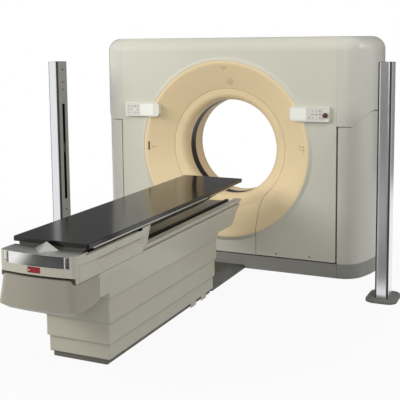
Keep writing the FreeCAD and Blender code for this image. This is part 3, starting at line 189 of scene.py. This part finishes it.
def metal(name, base, rough=0.3, lines=(1.0, 1.0, 60.0), scale=30.0, strength=0.12):
    """Bare or plated metal with its grain drawn out along one direction."""
    wear = 0.15
    m = Maker(name)
    grain = m.noise(scale, 3.0, 0.6, place=m.stretched(lines))
    colour = m.clouded(m.noise(3.0, 3.0), scaled(base, 0.95), scaled(base, 1.03))
    soft, near = m.rounded(radius=0.0012)
    colour = m.mixed(m.sums("MULTIPLY", near, wear * 3), colour, scaled(base, 1 + wear))
    roughness = m.span(grain, 0.25, 0.75, max(rough - 0.08, 0.02), rough + 0.08)
    normal = m.bump(grain, strength, distance=0.0001, normal=soft)
    return m.finish(colour, roughness, normal, metal=1.0)


def cast(name, base, rough=0.6):
    """Coated castings and weldments: a coarser skin and darker clouds."""
    m = Maker(name)
    colour = m.clouded(m.noise(6.0, 5.0, 0.6), scaled(base, 0.88), scaled(base, 1.08))
    soft, near = m.rounded(radius=0.002)
    colour = m.mixed(m.sums("MULTIPLY", near, 0.4), colour, scaled(base, 1.25))
    roughness = m.span(m.noise(14.0, 4.0), *CLOUD, rough - 0.08, rough + 0.1)
    normal = m.bump(m.noise(320.0, 3.0, 0.6), strength=0.5, distance=0.0004, normal=soft)
    return m.finish(colour, roughness, normal)


def laminate(name, base):
    """Black carbon laminate under clear gloss resin, its twill barely visible."""
    threads = 420.0     # weave waves in radians per metre
    m = Maker(name)
    x, y, _ = m.axes()
    across = m.sums("MULTIPLY", x, threads)
    along = m.sums("MULTIPLY", y, threads)
    twill = m.sums("SINE", m.sums("ADD", across, along))
    warp = m.sums("SINE", m.sums("SUBTRACT", m.sums("MULTIPLY", across, 2.0), along))
    weave = m.span(m.sums("MULTIPLY", twill, warp), -1.0, 1.0, 0.0, 1.0)
    colour = m.mixed(weave, scaled(base, 0.8), scaled(base, 1.25))
    soft, near = m.rounded(radius=0.001)
    colour = m.mixed(m.sums("MULTIPLY", near, 0.25), colour, scaled(base, 1.6))
    roughness = m.span(m.noise(2.5, 4.0, 0.55), 0.3, 0.75, 0.12, 0.17)
    normal = m.bump(m.noise(60.0, 3.0), strength=0.02, distance=0.0003, normal=soft)
    return m.finish(colour, roughness, normal)


def glossy(name, base, marks=None):
    """Display glass and lenses."""
    m = Maker(name)
    colour = m.clouded(m.noise(4.0, 3.0), scaled(base, 0.95), scaled(base, 1.05))
    if marks:
        colour = marks(m, colour)
    roughness = m.span(m.noise(16.0, 5.0, 0.65), 0.35, 0.75, 0.12, 0.22)
    normal = m.bump(m.noise(25.0, 2.0), strength=0.03, distance=0.0005)
    return m.finish(colour, roughness, normal, coat=0.3, coat_rough=0.06)


PLINTH_JOINT_X = 1.0195     # joint of the skirting, either side of the middle
JOINT_HALF = 0.0016         # half the width of a plinth joint

SEAM_X = 0.302              # upright part of the low panel's seam
SEAM_TOP = 0.509            # height where it starts to bend, and the bend's centre
SEAM_HALF = 0.0018
BEND_X = 0.5208             # centre of the bend
BEND_RADIUS = 0.2188
BEND_Z, BEND_HALF_Z = 0.590, 0.081
BEND_LIMIT_X = (0.379, 0.38)            # the bend ends here, away from the middle
FRONT_SIDE_Y = (-0.15, -0.14)           # only what lies in front of this has the seam

# A post's core, which is all that lies more than 1.5 mm behind its skin; its near-black colour is
# painted shade.
POST_Y = -0.669
CORE_HALF_X, CORE_HALF_Y = 0.0505, 0.0795
CORE_SOFT = 0.0006

WINDOW_LIMIT_X = (-0.66, -0.64)         # left of this the ring's window is dark


def plinth_joints(m, colour):
    """Joints of the plinth's skirting under the gantry's side seams."""
    x, _, _ = m.axes()
    joint = m.within(m.sums("ABSOLUTE", x), PLINTH_JOINT_X, JOINT_HALF)
    return m.mixed(m.sums("MULTIPLY", joint, 0.75), colour, tone(30, 30, 28))


def low_seams(m, colour):
    """The joint that runs from the bore's joint down to the low panel is dark inside."""
    x, y, z = m.axes()
    off = m.sums("ABSOLUTE", x)
    below = m.span(z, SEAM_TOP - 0.002, SEAM_TOP, 1.0, 0.0)
    upright = m.sums("MULTIPLY", m.within(off, SEAM_X, SEAM_HALF), below)
    from_x = m.sums("SUBTRACT", off, BEND_X)
    from_z = m.sums("SUBTRACT", z, SEAM_TOP)
    round_x, round_z = m.sums("MULTIPLY", from_x, from_x), m.sums("MULTIPLY", from_z, from_z)
    reach = m.sums("SQRT", m.sums("ADD", round_x, round_z))
    bend = m.sums("MULTIPLY", m.within(reach, BEND_RADIUS, SEAM_HALF),
                  m.within(z, BEND_Z, BEND_HALF_Z))
    bend = m.sums("MULTIPLY", bend, m.span(off, *BEND_LIMIT_X, 1.0, 0.0))
    seam = m.sums("MULTIPLY", m.sums("MAXIMUM", upright, bend),
                  m.span(y, *FRONT_SIDE_Y, 1.0, 0.0))
    return m.mixed(m.sums("MULTIPLY", seam, 0.8), colour, tone(52, 46, 38))


def lens_tints(m, colour):
    """The left window is dark; the others are tinted close to the ring."""
    x, _, _ = m.axes()
    pale = m.span(x, *WINDOW_LIMIT_X, 0.0, 1.0)
    tint = m.clouded(m.noise(70.0, 3.0), tone(206, 182, 138), tone(216, 192, 150))
    return m.mixed(pale, colour, tint)


def post_finish(name, centre, inner, pale):
    """Satin anodised column with a matt grey inner face, and painted shade in near black behind its
    skin.
    """
    m = Maker(name)
    x, y, _ = m.axes()
    grain = m.noise(12.0, 3.0, 0.6, place=m.stretched((60.0, 60.0, 1.0)))
    satin = m.clouded(grain, tone(196 * pale, 197 * pale, 199 * pale),
                      tone(208 * pale, 209 * pale, 210 * pale))
    soft, _ = m.rounded(radius=0.0015)
    facing = m.add("ShaderNodeNewGeometry")
    aim = m.add("ShaderNodeSeparateXYZ")
    m.link(facing.outputs["Normal"], aim.inputs[0])
    inward = m.span(m.sums("MULTIPLY", aim.outputs[0], inner), 0.9, 0.97, 0.0, 1.0)
    matt = m.clouded(m.noise(7.0, 4.0), tone(146, 146, 141), tone(155, 155, 150))
    # painted shade: the hollow core behind the skin is coloured near black, as shade inside the
    # post
    core_shade = m.sums("MULTIPLY", m.within(x, centre, CORE_HALF_X, CORE_SOFT),
                  m.within(y, POST_Y, CORE_HALF_Y, CORE_SOFT))
    colour = m.mixed(inward, satin, matt)
    colour = m.mixed(core_shade, colour, tone(34, 34, 34))
    dull = m.sums("MAXIMUM", inward, core_shade)
    m.link(m.span(dull, 0.0, 1.0, 1.0, 0.0), m.shader.inputs["Metallic"])
    roughness = m.sums("ADD", m.span(grain, 0.25, 0.75, 0.30, 0.34),
                       m.sums("MULTIPLY", dull, 0.2))
    normal = m.bump(grain, strength=0.02, distance=0.0001, normal=soft)
    return m.finish(colour, roughness, normal, metal=None)


COVER = painted("cover_paint", tone(196, 194, 181), rough=0.38, coat=0.08, marks=low_seams)
COVER_SIDE = painted("side_cover_paint", tone(194, 192, 182), rough=0.33, coat=0.3)
RING = painted("ring_paint", tone(226, 205, 166), rough=0.42, marks=low_seams)
COUCH = painted("couch_paint", tone(186, 182, 168), rough=0.36, coat=0.14)
BUMPER = painted("bumper_paint", tone(150, 145, 132), rough=0.36, coat=0.1)
SHROUD = painted("shroud_paint", tone(182, 178, 163), rough=0.46)
PLINTH = painted("plinth_paint", tone(138, 137, 132), rough=0.5, peel=0.5, marks=plinth_joints)
STRIP = painted("base_strip_paint", tone(96, 94, 86), rough=0.55, peel=0.5)
DUCT = painted("duct_paint", tone(58, 58, 53), rough=0.5, peel=0.5)
PANEL = painted("panel_plastic", tone(216, 214, 206), rough=0.36)
POST_LEFT = post_finish("post_left_anodised", -1.4515, 1.0, pale=1.15)
POST_RIGHT = post_finish("post_right_anodised", 1.490, -1.0, pale=1.17)
POST_FOOT = cast("post_foot_paint", tone(100, 101, 95))
STEEL = metal("machined_steel", tone(160, 161, 162), rough=0.34)
DARK_STEEL = metal("blackened_steel", tone(70, 70, 68), rough=0.4)
FRAME_STEEL = cast("frame_steel_paint", tone(122, 126, 128), rough=0.5)
CASTING = cast("casting_paint", tone(134, 136, 136))
WEIGHT = cast("counterweight_paint", tone(88, 90, 92))
BEARING = metal("bearing_steel", tone(140, 141, 143), rough=0.25)
CHROME = metal("handle_chrome", tone(232, 231, 230), rough=0.1, lines=(1.0, 1.0, 4.0),
               scale=2.0, strength=0.005)
DECK = metal("deck_metal", tone(184, 183, 178), rough=0.38, lines=(1.0, 30.0, 1.0), scale=20.0)
CARBON = laminate("table_laminate", tone(20, 20, 20))
CRADLE = painted("cradle_gloss", tone(64, 64, 54), rough=0.2, coat=0.5)
RAIL = metal("rail_metal", tone(196, 194, 186), rough=0.34, lines=(1.0, 0.02, 60.0))
WINDOW = painted("window_film", tone(34, 27, 19), rough=0.5, peel=0.05)
PRINT_PLATE = painted("key_plate", tone(206, 205, 198), rough=0.45)
DISPLAY = glossy("display_glass", tone(234, 233, 226))
STOP_RED = painted("stop_dark_red", tone(84, 42, 38), rough=0.34, coat=0.2)
BUTTON_RED = painted("button_red", tone(140, 26, 38), rough=0.34, coat=0.2)
LENS = glossy("lens_glass", tone(84, 70, 42), marks=lens_tints)
LASER = painted("laser_case", tone(40, 40, 41), rough=0.45)
PRINT = painted("print_grey", tone(70, 72, 72), rough=0.5, mottle=0.05)
PRINT_RED = painted("print_red", tone(168, 120, 112), rough=0.5, mottle=0.05)
PRINT_TAN = painted("print_tan", tone(196, 164, 118), rough=0.45, mottle=0.05)
PRINT_WHITE = painted("print_white", tone(240, 240, 238), rough=0.4)
SCREW = metal("screw_black", tone(58, 56, 50), rough=0.4)

FINISH = (
    (PLINTH, ("gantry_base",)),
    (COVER_SIDE, ("side_cover_left", "side_cover_right", "corner_cap_left", "corner_cap_right")),
    (CASTING, ("tilt_supports", "rotor_drum", "xray_tube", "high_voltage_tank")),
    (FRAME_STEEL, ("tilt_drive", "tilt_frame", "detector_arc", "cooler", "lift_stage_1",
                   "lift_stage_2", "lift_stage_3", "lift_stage_4", "couch_frame",
                   "carriage_frame")),
    (STEEL, ("trunnions", "slip_ring", "collimator")),
    (BEARING, ("bearing_outer_ring", "bearing_inner_ring")),
    (COVER, ("front_cover", "front_low_panel", "rear_cover")),
    (RING, ("front_ring", "front_liner", "rear_funnel")),
    (WINDOW, ("scan_window",)),
    (LENS, ("laser_apertures",)),
    (PANEL, ("control_panel_left", "control_panel_right")),
    (PRINT_PLATE, ("keypads",)),
    (DISPLAY, ("displays",)),
    (STOP_RED, ("emergency_stop",)),
    (WEIGHT, ("counterweights",)),
    (STRIP, ("couch_base",)),
    (SHROUD, ("shroud_lower", "shroud_middle", "shroud_upper")),
    (COUCH, ("body_cover", "side_rails", "cradle_saddle", "foot_cover")),
    (BUMPER, ("foot_bumper",)),
    (DARK_STEEL, ("guide_rails",)),
    (CRADLE, ("cradle",)),
    (CARBON, ("tabletop",)),
    (RAIL, ("edge_rails",)),
    (DECK, ("foot_deck",)),
    (CHROME, ("foot_handle",)),
    (BUTTON_RED, ("release_button",)),
    (DUCT, ("floor_duct",)),
    (POST_LEFT, ("post_left",)),
    (POST_RIGHT, ("post_right",)),
    (POST_FOOT, ("post_feet",)),
    (LASER, ("laser_carriage_left", "laser_carriage_right")),
)


def dress_nodes():
    """Gives every solid of the part its finish, in the slots that it has."""
    for material, names in FINISH:
        for name in names:
            held = NODES[name]
            if not held.material_slots:
                held.data.materials.append(material)
            for place in held.material_slots:
                place.material = material


dress_nodes()


# ---------------------------------------------------------------- small pieces

def make_piece(name, body, parts):
    """One object from (rings, material) parts: each is lofted between rings and closed."""
    b = bmesh.new()
    materials = []
    for rings, material in parts:
        if material not in materials:
            materials.append(material)
        index = materials.index(material)
        rows = [[b.verts.new(v) for v in ring] for ring in rings]
        faces = [b.faces.new(rows[0][::-1]), b.faces.new(rows[-1])]
        for low, high in zip(rows, rows[1:]):
            for i in range(len(low)):
                j = (i + 1) % len(low)
                faces.append(b.faces.new((low[i], low[j], high[j], high[i])))
        for f in faces:
            f.material_index = index
    bmesh.ops.recalc_face_normals(b, faces=b.faces)
    mesh = bpy.data.meshes.new(name)
    b.to_mesh(mesh)
    b.free()
    for material in materials:
        mesh.materials.append(material)
    piece = bpy.data.objects.new(name, mesh)
    bpy.context.collection.objects.link(piece)
    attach(piece, body)


MM = 0.001
BOTH_SIDES = (-1, 1)
PRINT_HEIGHT = 0.0004
KEY_FACE = -0.3272          # y of the raised keys' faces
KEY_PRINT_SCALE = 0.0012    # metres for each unit of a key's symbol
PAD_WIDTH = 0.136           # a pad with its four columns and three rows of keys
FIRST_COLUMN, COLUMN_PITCH = 0.021, 0.031
FIRST_ROW, ROW_PITCH = 0.0305, 0.029

# Screw heads: (radius, height) from the seat to the crown.
PAN = [(0.0062, 0.0), (0.0066, 0.0006), (0.0064, 0.0016), (0.0052, 0.0026), (0.0036, 0.0030)]
SMALL_PAN = [(0.0036, 0.0), (0.0039, 0.0004), (0.0037, 0.0010), (0.0029, 0.0016),
             (0.0020, 0.0018)]
HEAD_SIDES = 24

# Piece, body, head, socket's radius, and each head's place and axis on the right side.
SCREWS = (
    ("cover_screws", "gantry_tilting", PAN, 0.0030,
     (((0.4915, -0.2962, 0.1580), (0, -1, 0)), ((0.7841, -0.2962, 0.1600), (0, -1, 0)))),
    ("panel_screws", "couch_top", SMALL_PAN, 0.0017,
     (((0.2618, -2.5846, 0.7425), (1, 0, 0)),)),
    ("handle_screws", "couch_top", SMALL_PAN, 0.0017,
     (((0.2113, -3.0508, 0.7345), (0.114, -0.993, 0)),)),
)


def stamp(outline, x, z, y, height=PRINT_HEIGHT, scale=MM):
    """A flat printed or raised shape on a panel that faces the couch."""
    mid_x = sum(p[0] for p in outline) / len(outline)
    mid_z = sum(p[1] for p in outline) / len(outline)

    def row(grow, lift):
        return [(x + (mid_x + (px - mid_x) * grow) * scale, y - lift,
                 z + (mid_z + (pz - mid_z) * grow) * scale) for px, pz in outline]
    return [row(1.0, 0.0), row(1.0, height * 0.6), row(0.9, height)]


def disc(radius, sides=20):
    """Corners of a round shape."""
    return [(radius * math.cos(2 * math.pi * i / sides), radius * math.sin(2 * math.pi * i / sides))
            for i in range(sides)]


def arrow(angle, size):
    """A short arrow head turned by a number of quarter turns."""
    shape = [(-size, -size * 0.7), (size, -size * 0.7), (0.0, size)]
    c, s = math.cos(angle * math.pi / 2), math.sin(angle * math.pi / 2)
    return [(px * c - pz * s, px * s + pz * c) for px, pz in shape]


def bar(half_width, half_height):
    """Corners of an upright rectangle."""
    return [(-half_width, -half_height), (half_width, -half_height),
            (half_width, half_height), (-half_width, half_height)]


def turned_head(place, axis, profile, socket):
    """Screw head: rings of (radius, height) round an axis, with a hex socket."""
    place, axis = Vector(place), Vector(axis).normalized()
    u = axis.orthogonal().normalized()
    v = axis.cross(u)

    def row(radius, height, hexagon=False):
        points = []
        for i in range(HEAD_SIDES):
            t = 2 * math.pi * i / HEAD_SIDES
            r = radius
            if hexagon:
                r = radius * math.cos(math.pi / 6) / math.cos((t % (math.pi / 3)) - math.pi / 6)
            points.append(place + u * r * math.cos(t) + v * r * math.sin(t) + axis * height)
        return points
    top = profile[-1][1]
    return [row(r, h) for r, h in profile] + [row(socket, top, True),
                                              row(socket * 0.96, top - socket * 0.8, True)]


def key_centre(side, column, row):
    """Middle of one raised key of the left (-1) or right (1) pad, rows counted from below."""
    low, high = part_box("keypads")
    edge = low[0] if side < 0 else high[0] - PAD_WIDTH
    return (edge + FIRST_COLUMN + COLUMN_PITCH * column,
            0.5 * (low[2] + high[2]) - FIRST_ROW + ROW_PITCH * row)


def panel_prints():
    """Small plain symbols on the keys: each is a shape with its key's column and row."""
    left = [(arrow(0, 5.0), 0, 2), (bar(5.5, 2.0), 0, 1), (bar(2.0, 5.0), 1, 1),
            (arrow(2, 5.0), 0, 0), (disc(5.2), 2, 2), (bar(5.0, 2.0), 3, 2),
            (arrow(2, 4.0), 1, 2), (bar(2.0, 4.4), 3, 1), (bar(4.5, 1.8), 3, 0),
            (bar(3.6, 1.8), 2, 0)]
    right = [(arrow(0, 5.5), 3, 2), (arrow(1, 5.5), 2, 1), (bar(4.4, 4.0), 3, 1),
             (arrow(2, 5.5), 3, 0), (disc(4.0), 0, 0), (bar(4.0, 1.8), 1, 1),
             (arrow(2, 3.6), 1, 0)]
    warm = [(bar(5.0, 2.0), 1, 2), (arrow(2, 4.6), 2, 2)]

    def printed(side, shapes, material):
        return [(stamp(shape, *key_centre(side, column, row), KEY_FACE, scale=KEY_PRINT_SCALE),
                 material) for shape, column, row in shapes]

    white = [(stamp(disc(7.0, 28), *key_centre(-1, 2, 1), KEY_FACE, 4 * PRINT_HEIGHT), PRINT_WHITE)]
    make_piece("panel_prints_left", "gantry_tilting", printed(-1, left, PRINT) + white)
    make_piece("panel_prints_right", "gantry_tilting",
               printed(1, right, PRINT) + printed(1, warm, PRINT_RED))


def screws():
    """Fasteners of the low front cover, the couch's side panels and its handle."""
    for name, body, profile, socket, heads in SCREWS:
        parts = []
        for side in BOTH_SIDES:
            for (x, y, z), (axis_x, axis_y, axis_z) in heads:
                parts.append((turned_head((side * x, y, z), (side * axis_x, axis_y, axis_z),
                                          profile, socket), SCREW))
        make_piece(name, body, parts)


def surface(nodes, x, z):
    """Depth of the foremost of some nodes' faces, straight behind a point seen from the couch."""
    start, ahead = Vector((x, -6.0, z)), Vector((0, 1, 0))
    found = [NODES[node].ray_cast(start, ahead) for node in nodes]
    return min(place.y for hit, place, _, _ in found if hit)


def draped(rim, lift):
    """One ring of points held at a lift off the front ring's curved face."""
    return [(x, surface(("front_ring", "laser_apertures"), x, z) - lift, z) for x, z in rim]


def handle_ends():
    """Rolled ends of the bright band: one shallow crown between two beads."""
    near, far, width = 0.1945, 0.2250, 0.0305
    crown_height, bead_height = 0.0026, 0.0007
    sink = 0.002        # how far the back lies behind the band's face
    steps = 28
    parts = []
    low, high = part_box("foot_handle")
    middle = 0.5 * (low[2] + high[2])
    levels = ((low[2] + 0.0012, 0.0004), (low[2] + 0.002, 0.0),
              (high[2] - 0.003, 0.0), (high[2] - 0.0022, 0.0004))
    for side in BOTH_SIDES:
        outline = []
        for i in range(steps + 1):
            t = i / steps
            x = side * (near + width * t)
            crown = (crown_height * math.sin(math.pi * t) ** 0.8
                     + bead_height * math.sin(3 * math.pi * t) ** 2)
            outline.append((x, surface(("foot_handle",), x, middle) - crown))
        outline += [(side * far, outline[-1][1] + sink), (side * near, outline[0][1] + sink)]
        rings = [[(x, y + inset, z) for x, y in outline] for z, inset in levels]
        parts.append((rings, CHROME))
    make_piece("handle_ends", "couch_top", parts)


def ring_dot():
    """Shallow oval lens over the ring's upper mark."""
    x, z = 0.0370, 1.6354
    profile = ((0.0335, -0.0006), (0.0335, 0.0006), (0.0315, 0.0013), (0.0200, 0.0017),
               (0.0080, 0.0018))
    rows = [draped([(x + r * px, z + r * pz) for px, pz in disc(1.0, 40)], lift)
            for r, lift in profile]
    make_piece("ring_dot", "gantry_tilting", [(rows, LENS)])


def ring_marks():
    """Small plain marks on the ring, beside its left window and in place of a right one."""
    marks = (
        ([(-7.0, 9.0), (-7.0, -7.0), (9.0, -1.0), (9.0, 4.0)], -0.7000, 1.0330),
        (bar(9.0, 2.4), -0.6760, 1.0345),
        (bar(27.0, 3.6), 0.7080, 1.0960),
        (bar(3.6, 24.0), 0.7314, 1.0740),
        (bar(9.0, 3.0), 0.7200, 1.0400),
        (bar(3.0, 8.0), 0.6850, 1.0850),
    )
    parts = []
    for shape, x, z in marks:
        rim = [(x + px * MM, z + pz * MM) for px, pz in shape]
        parts.append(([draped(rim, lift) for lift in (-0.0006, 0.0005)], PRINT_TAN))
    make_piece("ring_marks", "gantry_tilting", parts)


def cove_ends():
    """Covers the opening at each finger cove's rear end, where the cove cuts through the wall."""
    inner = 0.2380
    low, low_edge, high_edge, high = 0.6760, 0.6800, 0.7400, 0.7440
    slim = 0.001        # the edges' rounding
    sections = ((-2.2788, 0.2436), (-2.2680, 0.2470), (-2.2570, 0.2530), (-2.2480, 0.2556),
                (-2.2350, 0.2560))
    parts = []
    for side in BOTH_SIDES:
        rows = [[(side * x, y, z) for x, z in
                 ((inner, low), (outer - slim, low), (outer, low_edge), (outer, high_edge),
                  (outer - slim, high), (inner, high))] for y, outer in sections]
        parts.append((rows, COUCH))
    make_piece("cove_ends", "couch_top", parts)


def button_mark():
    """Plain arrow raised on the release plate."""
    shape = [(-5.0, 0.0), (0.5, -6.5), (0.5, -2.2), (5.0, -2.2), (5.0, 2.2), (0.5, 2.2), (0.5, 6.5)]
    x, z, face = -0.0330, 0.6985, -3.0690
    make_piece("release_mark", "release_plate",
               [(stamp(shape, x, z, face, 2 * PRINT_HEIGHT), PRINT_WHITE)])


# ---------------------------------------------------------------- floor, light and camera

WHITE = (1.0, 1.0, 1.0, 1.0)
SKY = (1.0, 1.0, 0.985, 1.0)
SKY_LEVEL = 0.4
FLOOR_HALF, FLOOR_CELLS = 14.0, 24
FLOOR_TINTS = ((0.42, 0.42, 0.415, 1.0), (0.45, 0.45, 0.445, 1.0))
CARD_EDGE = (0.8, 0.8, 0.8, 1.0)
CARD_FADE = 0.55        # width over which a card's left end pales

# Name, place, aim, (width, height), watts, colour, whether mirror-like surfaces show it.
LIGHTS = (
    ("key", (-3.9, -4.7, 3.4), (0.0, -0.6, 0.9), (3.2, 2.6), 262.0, (1.0, 1.0, 0.97), False),
    ("fill", (3.2, -7.6, 2.8), (0.2, -0.8, 0.7), (2.5, 2.0), 62.0, (1.0, 1.0, 1.0), True),
    ("high_right", (3.6, -2.7, 4.7), (1.0, -0.3, 1.7), (1.4, 1.0), 90.0, (1.0, 1.0, 1.0), False),
    ("rim_right", (5.2, 1.2, 3.8), (1.2, 0.1, 1.7), (1.8, 1.4), 30.0, (1.0, 1.0, 1.0), True),
    ("back", (-2.0, 5.0, 4.5), (0.0, 0.0, 1.2), (5.0, 3.0), 80.0, (1.0, 1.0, 1.0), True),
)

# Name, corners and grey level.
CARDS = (
    ("rear_card", ((-12.0, 4.2, 0.0), (4.5, 4.2, 0.0), (4.5, 4.2, 7.0), (-12.0, 4.2, 7.0)), 0.2),
    ("floor_card", ((-2.3, -4.6, 0.02), (3.4, -4.6, 0.02), (3.4, -9.0, 0.02), (-2.3, -9.0, 0.02)),
     0.03),
    ("side_card", ((0.7, -4.6, 0.02), (3.4, -4.6, 0.02), (3.4, -1.1, 0.02), (0.7, -1.1, 0.02)),
     0.1),
    ("front_card", ((-2.4, -9.5, 0.0), (8.0, -9.5, 0.0), (8.0, -9.5, 4.5), (-2.4, -9.5, 4.5)),
     0.08),
)

CAMERA_PLACE = (2.7313, -6.7306, 1.9838)
YAW, PITCH, ROLL = 0.4304, -0.1169, -0.01
SENSOR = 36.0
FRAME_PIXELS = 400.0
FOCAL_PIXELS = 805.4315
AXIS_ROW = 136.0        # row of the frame that the lens looks straight at


def floor_material():
    """Pale floor that the camera and mirror-like surfaces see as nearly plain white."""
    m = Maker("floor_white")
    ray = m.add("ShaderNodeLightPath")
    reach = m.add("ShaderNodeVectorMath")
    reach.operation = "LENGTH"
    m.link(m.place, reach.inputs[0])
    far = m.span(reach.outputs["Value"], 1.5, 4.5, 0.93, 1.0)
    seen = m.sums("MAXIMUM", ray.outputs["Is Camera Ray"], ray.outputs["Is Transmission Ray"])
    seen = m.sums("MAXIMUM", seen, ray.outputs["Is Glossy Ray"])
    tint = m.clouded(m.noise(3.0, 3.0), *FLOOR_TINTS)
    m.link(tint, m.shader.inputs["Base Color"])
    m.shader.inputs["Roughness"].default_value = 0.75
    m.shader.inputs["Specular IOR Level"].default_value = 0.2
    glow = m.add("ShaderNodeEmission")
    mix = m.add("ShaderNodeMixShader")
    m.link(m.sums("MULTIPLY", seen, far), mix.inputs[0])
    m.link(m.shader.outputs[0], mix.inputs[1])
    m.link(glow.outputs[0], mix.inputs[2])
    m.link(mix.outputs[0], m.tree.nodes["Material Output"].inputs["Surface"])
    return m.material


def make_floor():
    b = bmesh.new()
    bmesh.ops.create_grid(b, x_segments=FLOOR_CELLS, y_segments=FLOOR_CELLS, size=FLOOR_HALF)
    mesh = bpy.data.meshes.new("floor")
    b.to_mesh(mesh)
    b.free()
    floor = bpy.data.objects.new("floor", mesh)
    floor.location = (0.0, -1.2, 0.0)
    bpy.context.collection.objects.link(floor)
    mesh.materials.append(floor_material())


def make_world():
    """A white backdrop for the camera and mirror-like surfaces, and a soft light for the rest."""
    world = bpy.data.worlds.new("studio")
    bpy.context.scene.world = world
    world.use_nodes = True
    t = world.node_tree
    back = t.nodes["Background"]
    back.inputs["Color"].default_value = WHITE
    soft = t.nodes.new("ShaderNodeBackground")
    soft.inputs["Color"].default_value = SKY
    soft.inputs["Strength"].default_value = SKY_LEVEL
    ray = t.nodes.new("ShaderNodeLightPath")
    seen = ray.outputs["Is Camera Ray"]
    for kind in ("Is Glossy Ray", "Is Transmission Ray"):
        either = t.nodes.new("ShaderNodeMath")
        either.operation = "MAXIMUM"
        t.links.new(seen, either.inputs[0])
        t.links.new(ray.outputs[kind], either.inputs[1])
        seen = either.outputs[0]
    mix = t.nodes.new("ShaderNodeMixShader")
    t.links.new(seen, mix.inputs[0])
    t.links.new(soft.outputs[0], mix.inputs[1])
    t.links.new(back.outputs[0], mix.inputs[2])
    t.links.new(mix.outputs[0], t.nodes["World Output"].inputs["Surface"])


def dark_card(name, corners, level):
    """A studio flag: only mirror-like surfaces see it, and it casts no shadow."""
    m = Maker(name)
    dark = (level, level, level, 1.0)
    colour = m.clouded(m.noise(0.7, 2.0), dark, scaled(dark, 1.3))
    edge = min(c[0] for c in corners)
    fade = m.span(m.axes()[0], edge, edge + CARD_FADE, 0.0, 1.0)
    m.link(m.mixed(fade, CARD_EDGE, colour), m.shader.inputs["Base Color"])
    m.shader.inputs["Roughness"].default_value = 0.9
    b = bmesh.new()
    b.faces.new([b.verts.new(c) for c in corners])
    bmesh.ops.subdivide_edges(b, edges=b.edges[:], cuts=3, use_grid_fill=True)
    mesh = bpy.data.meshes.new(name)
    b.to_mesh(mesh)
    b.free()
    mesh.materials.append(m.material)
    card = bpy.data.objects.new(name, mesh)
    bpy.context.collection.objects.link(card)
    card.visible_camera = card.visible_diffuse = card.visible_shadow = False


def area_light(name, place, aim, size, power, colour, mirrored):
    """A rectangular softbox turned towards a point."""
    data = bpy.data.lights.new(name, "AREA")
    data.shape = "RECTANGLE"
    data.size, data.size_y = size
    data.energy = power
    data.color = colour
    light = bpy.data.objects.new(name, data)
    light.location = place
    light.visible_glossy = mirrored
    light.rotation_mode = "QUATERNION"
    light.rotation_quaternion = (Vector(aim) - Vector(place)).to_track_quat("-Z", "Y")
    bpy.context.collection.objects.link(light)


def make_camera():
    """The photograph's viewpoint, solved from the object's own edges."""
    ahead = Vector((-math.sin(YAW) * math.cos(PITCH), math.cos(YAW) * math.cos(PITCH),
                    math.sin(PITCH)))
    level = Vector((math.cos(YAW), math.sin(YAW), 0.0))
    above = level.cross(ahead)
    across = level * math.cos(ROLL) + above * math.sin(ROLL)
    up = above * math.cos(ROLL) - level * math.sin(ROLL)
    data = bpy.data.cameras.new("camera")
    data.sensor_width = SENSOR
    data.lens = FOCAL_PIXELS * SENSOR / FRAME_PIXELS
    data.shift_y = (AXIS_ROW - FRAME_PIXELS / 2) / FRAME_PIXELS
    data.clip_end = 200.0
    camera = bpy.data.objects.new("camera", data)
    camera.matrix_world = Matrix((
        (across.x, up.x, -ahead.x, CAMERA_PLACE[0]),
        (across.y, up.y, -ahead.y, CAMERA_PLACE[1]),
        (across.z, up.z, -ahead.z, CAMERA_PLACE[2]),
        (0.0, 0.0, 0.0, 1.0)))
    bpy.context.collection.objects.link(camera)
    bpy.context.scene.camera = camera


make_floor()
make_world()
panel_prints()
screws()
handle_ends()
ring_dot()
ring_marks()
cove_ends()
button_mark()
for light in LIGHTS:
    area_light(*light)
for card in CARDS:
    dark_card(*card)
make_camera()
bpy.context.scene.view_settings.view_transform = "Standard"
